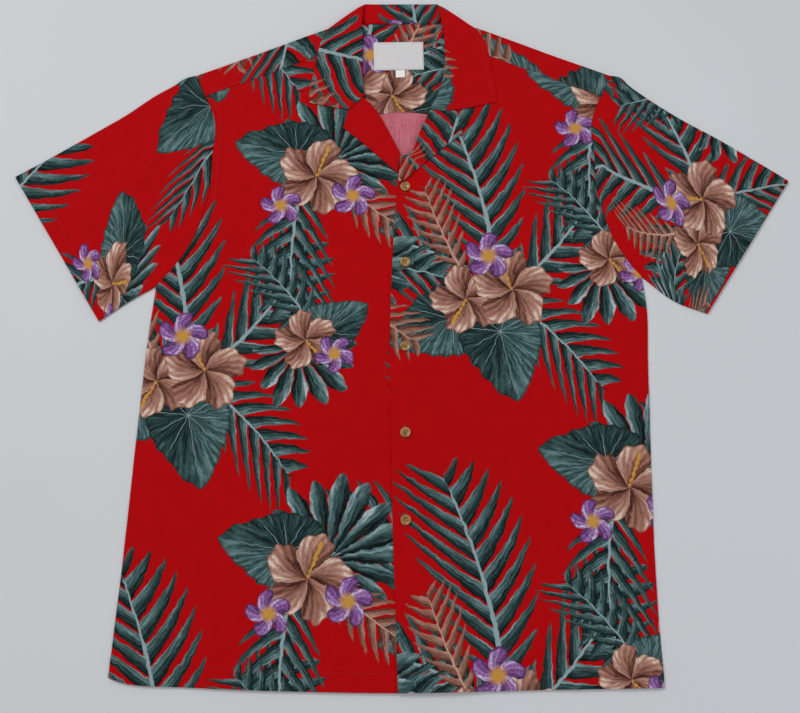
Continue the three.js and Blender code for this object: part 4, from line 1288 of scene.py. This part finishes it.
def lapel_height(sign):
    def height(x, y):
        near = line_distance(LAPELS[sign]["roll"], x, y)
        return over_front(sign, x, y) + 1.6 * bell(near, 16)

    return height


def rolled_edge(grid, floor):
    """A half round from the front's edge up to the first column of a lapel's points."""
    start = grid[:, 0]
    low_z = floor(start[:, 0], start[:, 1]) + WALL + 0.1
    middle, half = (start[:, 2] + low_z) / 2, (start[:, 2] - low_z) / 2
    into = grid[:, 3, :2] - start[:, :2]
    into /= np.maximum(norm(into, axis=1), 1e-6)[:, None]
    columns = []
    for angle in np.radians(np.linspace(180, 0, 9)[:-1]):
        back = 1.5 * fade((1 - angle / math.pi) * 2)
        places = start[:, :2] + into * (back - 1.1 * math.sin(angle))
        columns.append(np.column_stack([places, middle + half * math.cos(angle)]))
    return np.stack(columns, 1)


def make_lapel(sign, name, node, offset):
    data = LAPELS[sign]
    notch = np.array(data["notch"])
    level = lapel_height(sign)
    roll, outer = Line(rounded(data["roll"])), Line(rounded(data["outer"]))
    bottom = Line([roll.at(0.0), outer.at(0.0)])
    top = Line([roll.at(1.0), notch, outer.at(1.0)])
    x, y, _, _ = patch_grid(bottom, top, roll, outer, spaced(70, 2.2), spaced(outer.total, 2.2))
    edge = line_distance(np.vstack([outer.points, notch]), x, y)
    z = level(x, y) + 0.5 * creases(x * 1.3, y)
    z += -0.4 * bell(edge, 0.8) - 0.22 * bell(edge - TOPSTITCH, 0.9)
    z += pucker(y, edge - TOPSTITCH, 5, 0.08)
    z -= 0.6 * bell(line_distance([data["roll"][-1], notch], x, y), 2.6)
    grid = np.dstack([x, y, z])
    grid = np.concatenate([rolled_edge(grid, FLOORS[sign]), grid], 1)
    across = lengths_along(grid, 1)
    uv = np.dstack([sign * across / 1000 + offset[0], grid[..., 1] / 1000 + offset[1]])
    if sign < 0:
        grid, uv = grid[:, ::-1], uv[:, ::-1]
    normal = surface_normals(grid)
    obj = shell_round(name, grid - normal * CLOTH / 2, normal, uv, CLOTH_OUT)
    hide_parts(node)
    # Topstitching inside the outer edge, then inside the notch
    inset = offset_path(outer.at(np.linspace(0.1, 1, 24)), sign * TOPSTITCH)[:-3]
    path = np.vstack([inset, inset[-1] + (notch - outer.at(1.0)) * 0.66])
    seam_stitches(f"{name}_stitches", laid(path, lambda px, py: level(px, py) - 0.2), height=0.26)
    return obj


# Collar

def collar_sections():
    """Neck, roll, fold and hem points of the collar from the left notch round the back to the right."""
    rows = []
    under_hem = [(-87, 756), (-73, 752.5), (-58, 750.3)]
    seam_y, top_y = NECK_MIDDLE_Y + 1, COLLAR_TOP_Y - 1.4
    for sign in (-1, 1):
        part = []
        for i, (nx, ny, rx, ry, ex, ey, bow) in enumerate(LEAVES[sign]):
            hx, hy = (-sign * under_hem[i - 6][0], under_hem[i - 6][1]) if i > 5 else (ex, ey)
            part.append([nx, ny, rx, ry, ex, ey, hx, hy, bow, i])
        x = COLLAR_TOP_X[sign]
        part.append([x - sign, seam_y, x, top_y, x, top_y, x + sign, 749.4, 0, 9])
        rows.append(part)
    middle = []
    for u in np.linspace(-1, 1, 9)[1:-1]:
        x = mix(COLLAR_TOP_X[-1] + 1, COLLAR_TOP_X[1] - 1, (1 + u) / 2)
        hem_y = FALL_EDGE_Y + 1.4 * u * u
        middle.append([x, seam_y, x, top_y, x, top_y, x, hem_y, 0, 9 + (1 - abs(u)) * 3])
    return np.array(rows[0] + middle + rows[1][::-1])


# Places along a section of the collar: stand, roll, fall, silhouette fold and hidden fall
STAND_STEPS = np.array([0, 0.12, 0.3, 0.5, 0.7, 0.86])
ROLL_TURN = np.radians(np.linspace(0, 180, 9))
FALL_STEPS = np.array([
    0.02, 0.06, 0.12, 0.2, 0.3, 0.4, 0.5, 0.6, 0.7, 0.78, 0.84, 0.88, 0.91, 0.94, 0.965, 0.985, 1.0,
])
FOLD_TURN = ROLL_TURN[1:]
UNDER_STEPS = np.array([0.15, 0.3, 0.45, 0.6, 0.72, 0.82, 0.88, 0.93, 0.97, 1.0])
SECTIONS_BETWEEN = 9


def close_sections():
    """The collar's sections with more between them, on curves that are a little flattened."""
    table = collar_sections()
    last = len(table) - 1
    out = []
    for k in range(last):
        a, b, c, d = (table[min(max(n, 0), last)] for n in range(k - 1, k + 3))
        for t in np.arange(SECTIONS_BETWEEN) / SECTIONS_BETWEEN:
            out.append(mix(mix(b, c, t), spline(a, b, c, d, t), 0.6))
    return [*out, table[-1]]


def unit(vector):
    return vector / max(1e-6, norm(vector))


def collar_row(nx, ny, rx, ry, fx, fy, hx, hy, bow, kind):
    """Points of one section, from the neck seam over the roll and the fall to the hem.

    Up to a kind of 5 the fall rests on the front. Past it the fall turns under at the shoulder's edge, and
    past 8 the section is at the back of the neck.
    """
    neck, roll, fold, hem = (np.array(p) for p in ((nx, ny), (rx, ry), (fx, fy), (hx, hy)))
    wrap, back = float(smooth(kind - 5)), float(smooth(kind - 8))
    sign = -1 if rx < 0 else 1
    stand_front = float(back_floor(nx, ny)) + 2 * PLY + LINING_EASE + WALL / 2
    stand_side = mix(STAND_SIDE_Z, STAND_CORNER_Z, min(1.0, max(0.0, (kind - 5) / 4)))
    stand_z = mix(mix(stand_front, stand_side, wrap), STAND_BACK_Z, back)
    stand = neck + (roll - neck) * STAND_STEPS[:, None]

    t = FALL_STEPS
    fall = roll + (fold - roll) * t[:, None]
    peak = 0.85 if sign < 0 else 0.35
    fall[:, 1] -= bow * mix(np.sin(np.pi * t ** 0.6), np.minimum(t / 0.27, (1 - t) / 0.73), peak)
    resting = over_front(sign, fall[:, 0], fall[:, 1]) - CLOTH / 2
    raised = stand_z + PLY + 0.3
    fall_z = mix(mix(resting, raised, wrap), stand_z, back) + 1.8 * bell(t, 0.32) * (1 - back)
    edge = norm(fall - fold, axis=1)
    relief = -0.3 * bell(edge - TOPSTITCH, 1.0) - 0.4 * bell(edge, 0.8)
    relief = relief + pucker(np.full(len(t), ny + nx), edge - TOPSTITCH, 5, 0.08)
    fall_z = fall_z + relief * (1 - wrap) + 0.5 * creases(fall[:, 0] * 1.2, fall[:, 1]) * (1 - back)

    # The roll turns from the stand to the fall, and the silhouette fold under to the hem on the surface
    bulge = unit(roll - neck) * 0.7 * (1 - back)
    out = 1.2 * wrap
    normal = unit(fold - (roll if norm(fold - roll) > 2 else neck))
    normal = mix(normal, mix(np.array([sign * 0.61, 0.79]), np.array([0, 1.0]), back), wrap)
    start = fold - normal * out
    low_z = mix(fall_z[-1] - 0.02, WRAPPED_HEM_Z, wrap)
    fall = roll + (fall - roll) * (1 - out / max(1.3, norm(fold - roll)))
    under = start + (hem - start) * UNDER_STEPS[:, None]
    return np.vstack([
        np.column_stack([stand, np.full(len(stand), stand_z)]),
        turned(roll, bulge, stand_z, fall_z[0], ROLL_TURN),
        np.column_stack([fall, fall_z]),
        turned(start, normal * out, fall_z[-1], low_z, FOLD_TURN),
        np.column_stack([under, low_z + 0.02 * np.sin(UNDER_STEPS * 9)]),
    ])


def make_collar():
    """The whole collar as one piece of cloth, and the grid through its middle."""
    grid = np.array([collar_row(*section) for section in close_sections()])
    roll_line = grid[:, len(STAND_STEPS) + len(ROLL_TURN) // 2]
    lengths = lengths_along(grid, 1)
    along = np.broadcast_to(lengths_along(roll_line)[:, None], lengths.shape)
    uv = np.dstack([along / 1000 + 0.02, -lengths / 1000 + 0.29])
    obj = shell_round("collar_cloth", grid, -surface_normals(grid, 1e-3), uv, CLOTH_OUT, merge=2e-5)
    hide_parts("collar_back", "collar_leaf_left", "collar_leaf_right")
    return obj, grid


# Small pieces

def make_tape(name, node, tape, material, bulge, stitched=False):
    """A flat piece of woven tape, a little crowned, on the yoke's lining."""
    cx, cy, width, height, tilt = tape
    cos, sin = math.cos(tilt), math.sin(tilt)
    u, v = np.meshgrid(spaced(width, 1.6, near=(0.25, 0.6, 1.2)), spaced(height, 1.6, near=(0.25, 0.6, 1.2)))
    lx, ly = (u - 0.5) * width, (v - 0.5) * height
    x, y = cx + lx * cos - ly * sin, cy + lx * sin + ly * cos
    edge = np.minimum(np.minimum(u, 1 - u) * width, np.minimum(v, 1 - v) * height)
    z = lining_top(x, y) + 0.75 + bulge * np.sin(np.pi * u) * np.sin(np.pi * v)
    z += 0.12 * np.sin(lx / 6.5 + 0.7) + 0.18 * fade((edge - 3.2) / 0.7)
    z -= 0.25 * bell(edge, 0.35)
    low = lining_top(x, y) + 0.1
    uv = np.dstack([lx / 1000, ly / 1000])
    obj = shell(name, np.dstack([x, y, z]), np.dstack([x, y, low]), uv, material, material)
    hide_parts(node)
    if stitched:
        half = np.array([width, height]) / 2 - 1.5
        corners = np.array([(-1, -1), (1, -1), (1, 1), (-1, 1), (-1, -1)]) * half
        path = corners @ np.array([[cos, sin], [-sin, cos]]) + (cx, cy)
        row = laid(path, lambda px, py: lining_top(px, py) + 0.95, 0.9)
        seam_stitches(f"{name}_stitches", row, pitch=2.3, material=CREAM_THREAD, width=0.5, height=0.3)
    return obj


def button_mesh():
    """A moulded four-hole button with a rolled rim and a dished middle."""
    radius, thick = 5.7, 2.4
    profile = [
        (0.0, 0.15), (3.4, 0.0), (4.6, 0.12), (5.3, 0.55), (5.62, 1.05), (radius, 1.4),
        (5.6, 1.85), (5.3, 2.2), (4.85, thick), (4.35, 2.32), (3.95, 2.0), (3.65, 1.72),
        (3.2, 1.58), (1.6, 1.48), (0.0, 1.45),
    ]
    work = bmesh.new()
    rings = []
    count = 48
    for r, z in profile:
        angles = np.arange(count if r else 1) * 2 * math.pi / count
        rings.append([work.verts.new((r * math.cos(a), r * math.sin(a), z)) for a in angles])
    for first, second in zip(rings[:-1], rings[1:]):
        f, s = len(first), len(second)
        for k in range(count):
            n = (k + 1) % count
            corners = (first[k % f], first[n % f], second[n % s], second[k % s])
            work.faces.new(tuple(dict.fromkeys(corners)))
    disc = bpy.data.meshes.new("button_disc")
    work.to_mesh(disc)
    work.free()
    solid = new_object("button_disc", disc)
    cutters = []
    for sx, sy in ((-1, -1), (1, -1), (1, 1), (-1, 1)):
        tool = bmesh.new()
        bmesh.ops.create_cone(tool, cap_ends=True, segments=20, radius1=0.72, radius2=0.72, depth=8)
        bmesh.ops.translate(tool, verts=tool.verts, vec=(sx * HOLE_OFFSET, sy * HOLE_OFFSET, 1))
        mesh = bpy.data.meshes.new("button_hole")
        tool.to_mesh(mesh)
        tool.free()
        cutters.append(new_object("button_hole", mesh))
        modifier = solid.modifiers.new("hole", "BOOLEAN")
        modifier.operation = "DIFFERENCE"
        modifier.solver = "EXACT"
        modifier.object = cutters[-1]
    bpy.context.view_layer.update()
    evaluated = solid.evaluated_get(bpy.context.evaluated_depsgraph_get())
    cut = bpy.data.meshes.new_from_object(evaluated)
    points = np.array([v.co for v in cut.vertices])
    faces = [tuple(p.vertices) for p in cut.polygons]
    for obj in (*cutters, solid):
        bpy.data.objects.remove(obj)
    return points, faces


def buttonhole(k, y):
    """Bars of stitches on both sides of the slit under a button."""
    top = front_top(1)
    rows = np.arange(y - 7.0, y + 8.2, 0.52)
    for side, word in ((-1, "left"), (1, "right")):
        bars = []
        for reach in (0.18, 1.55):
            x = np.full(len(rows), BUTTON_X - 0.4 + side * reach)
            bars.append(np.column_stack([x, rows, top(x, rows)]))
        threads(f"buttonhole_{k}_{word}", *bars, BUTTONHOLE_THREAD, width=0.5, height=0.34)


def make_buttons():
    """Buttons at the places of their nodes, each turned a little, with their threads and buttonholes."""
    points, faces = button_mesh()
    for k, (y, degrees) in enumerate(zip(BUTTON_HEIGHTS, BUTTON_TURNS), 1):
        node = f"button_{k}"
        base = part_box(node)[0][2] * 1000
        cos, sin = direction(degrees)
        rotation = np.array([[cos, -sin, 0], [sin, cos, 0], [0, 0, 1]])
        obj = add_mesh(f"amber_{node}", points @ rotation.T + (BUTTON_X, y, base), faces, None, (AMBER,))
        mark_sharp(obj.data, 40)
        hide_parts(node)
        # Two bars of three threads, each between two holes
        places = [side * HOLE_OFFSET + shift for side in (-1, 1) for shift in (-0.28, 0.0, 0.28)]
        ends = []
        for end in (-HOLE_OFFSET, HOLE_OFFSET):
            bars = np.array([(x, end, 1.5) for x in places])
            ends.append(bars @ rotation.T + (BUTTON_X, y, base))
        threads(f"button_thread_{k}", *ends, TAN_THREAD, width=0.34, height=0.42, sink=0.25)
        buttonhole(k, y)


def mark_sharp(mesh, degrees):
    """Keeps edges sharper than an angle crisp in the shading."""
    work = bmesh.new()
    work.from_mesh(mesh)
    limit = math.radians(degrees)
    for edge in work.edges:
        edge.smooth = len(edge.link_faces) != 2 or edge.calc_face_angle(0) < limit
    work.to_mesh(mesh)
    work.free()


# The shirt
back = make_back()
front_under = make_front(-1, "front_under_cloth", "front_under", UNDER_EDGE, (0.0, 0.0))
front_upper = make_front(1, "front_upper_cloth", "front_upper", UPPER_EDGE, (0.32, 0.36))
sleeve_left = make_sleeve(-1, "sleeve_left_cloth", "sleeve_left", (0.05, 0.06))
sleeve_right = make_sleeve(1, "sleeve_right_cloth", "sleeve_right", (0.19, 0.27))
yoke = make_yoke()
lining = make_lining()
lapel_left = make_lapel(-1, "lapel_left_cloth", "lapel_left", (0.13, 0.21))
lapel_right = make_lapel(1, "lapel_right_cloth", "lapel_right", (0.02, 0.09))
collar, collar_grid = make_collar()
label = make_tape("neck_label_tape", "neck_label", LABEL, LABEL_CLOTH, 0.25, stitched=True)
tab = make_tape("size_tab_tape", "size_tab", SIZE_TAB, TAB_CLOTH, 0.1)
make_buttons()


# Rows of stitches

UNDERSIDE_ROW = {"width": 0.45, "height": 0.16, "sink": 0.0}


def hem_row(from_x, to_x):
    """A plan row beside the body's bottom edge."""
    edge = Line(rounded(HEM)).at(np.linspace(0, 1, 240))
    part = edge[(edge[:, 0] > from_x) & (edge[:, 0] < to_x)]
    return part + (0, HEM_ROW)


def low_row(points):
    """A plan row on the underside, in the hollow that its seam leaves."""
    return laid(points, lambda x, y: back_floor(x, y) + 0.03)


def body_stitches():
    left_end, right_end = HEM[0][0] + 1.5, HEM[-1][0] - 1.5
    left_row = (left_end, UNDER_EDGE[0][0] - 1)
    right_row = (UPPER_EDGE[0][0] + 0.5, right_end)
    for sign, side, ends in ((-1, "left", left_row), (1, "right", right_row)):
        top = front_top(sign)
        seam_stitches(f"hem_stitches_{side}", laid(hem_row(*ends), top))
        # Beside the armhole on the front, from the yoke's strip to the side seam
        arm = armhole(sign)
        below = arm[arm[:, 1] < SHOULDER_Y - YOKE_FRONT_DEPTH]
        row = offset_path(below, -sign * 6.3)[:-3]
        seam_stitches(f"armhole_stitches_{side}", laid(row, top))
        # Along the lower edge of the yoke's strip
        neck, shoulder, inward = shoulder_frame(sign)
        ends = [neck + inward * STRIP_ROW + (shoulder - neck) * t for t in (0.01, 0.985)]

        def strip_top(x, y):
            return strip_height(sign, x, y, np.full(len(x), STRIP_ROW)) + CLOTH / 2

        seam_stitches(f"yoke_stitches_{side}", laid(ends, strip_top))
    seam_stitches("hem_stitches_back", low_row(hem_row(left_end, right_end)), **UNDERSIDE_ROW)
    half = YOKE_SEAM_HALF - 3
    seam = [(-half, YOKE_SEAM_Y + 2.2), (half, YOKE_SEAM_Y + 2.2)]
    seam_stitches("yoke_stitches_back", low_row(seam), **UNDERSIDE_ROW)
    inside = rounded(LINING_EDGE)[1:-1] + (0, 2.2)
    row = laid(inside, lambda x, y: lining_top(x, y) - LINING_DROP * 0.67)
    seam_stitches("yoke_lining_stitches", row)


def sleeve_stitches(sign, side):
    plan, top, _, _ = sleeve_plan(sign)
    s = 1 - HEM_ROW / top.total
    row = plan(np.full(90, s), np.linspace(0.012, 0.988, 90))
    level = sleeve_top(sign)
    upper = laid(row, lambda x, y: level(x, y, np.full(len(x), HEM_ROW)))
    seam_stitches(f"cuff_stitches_{side}", upper)
    seam_stitches(f"cuff_stitches_{side}_back", low_row(row), **UNDERSIDE_ROW)


def collar_stitches():
    """Inside the free edges of the leaves: across the end, then up the outer edge to the shoulder."""
    start = len(STAND_STEPS) + len(ROLL_TURN)
    falls = collar_grid[:, start:start + len(FALL_STEPS)]
    middle, to_shoulder = len(FALL_STEPS) // 2, 48
    for side, order in (("left", 1), ("right", -1)):
        sections = falls[::order][:to_shoulder]
        from_end = norm(sections[:, middle] - sections[0, middle], axis=1)
        sections = sections[np.argmin(np.abs(from_end - TOPSTITCH)):]
        row = []
        for section in sections:
            gap = norm(section - section[-1], axis=1)[::-1]
            row.append([np.interp(TOPSTITCH, gap, section[::-1, k]) for k in range(3)])
        across = sections[0, :-1]
        across = across[norm(across - sections[0, -1], axis=1) > TOPSTITCH]
        path = np.vstack([across, row])
        path[:, 2] += CLOTH / 2
        seam_stitches(f"collar_stitches_{side}", path)


body_stitches()
sleeve_stitches(-1, "left")
sleeve_stitches(1, "right")
collar_stitches()


# Floor, light and camera

def make_floor():
    mesh = bpy.data.meshes.new("floor")
    reach, level = 4, -0.0005
    corners = [(-reach, -reach, level), (reach, -reach, level), (reach, reach, level), (-reach, reach, level)]
    mesh.from_pydata(corners, [], [(0, 1, 2, 3)])
    floor = new_object("floor", mesh)
    material, shader = fresh_material("pale_floor", {"Roughness": 0.8, "Specular IOR Level": 0.2})
    grain = noise(object_coordinates(material), 3.0, 2.0)
    coat(shader, blend(grain, srgb(206, 208, 210), srgb(212, 214, 217)))
    mesh.materials.append(material)


make_floor()


def area_light(name, place, size, power, colour):
    """A soft light that looks at the middle of the floor."""
    data = bpy.data.lights.new(name, "AREA")
    data.shape = "RECTANGLE"
    data.size, data.size_y = size
    data.energy = power
    data.color = colour
    lamp = new_object(name, data)
    lamp.location = place
    lamp.rotation_euler = (-Vector(place)).to_track_quat("-Z", "Y").to_euler()


area_light("key", (-1.1, 1.1, 2.2), (1.4, 1.0), 30, (1.0, 0.985, 0.96))
area_light("fill", (1.5, -0.7, 2.0), (1.6, 1.6), 12, (0.95, 0.98, 1.0))
world = bpy.data.worlds.new("studio")
world.use_nodes = True
world.node_tree.nodes["Background"].inputs[0].default_value = (0.93, 0.96, 1.0, 1.0)
world.node_tree.nodes["Background"].inputs[1].default_value = 0.46
bpy.context.scene.world = world

camera_data = bpy.data.cameras.new("camera")
camera_data.lens = 50
camera_data.sensor_width = 36
camera_data.clip_start = 0.05
camera = new_object("camera", camera_data)
TILT = math.radians(15.576)
DISTANCE = 1.22368
camera.location = (-0.0019, -0.0430 - DISTANCE * math.sin(TILT), DISTANCE * math.cos(TILT))
camera.rotation_euler = (TILT, 0, 0)
bpy.context.scene.camera = camera

bpy.context.scene.view_settings.view_transform = "Standard"
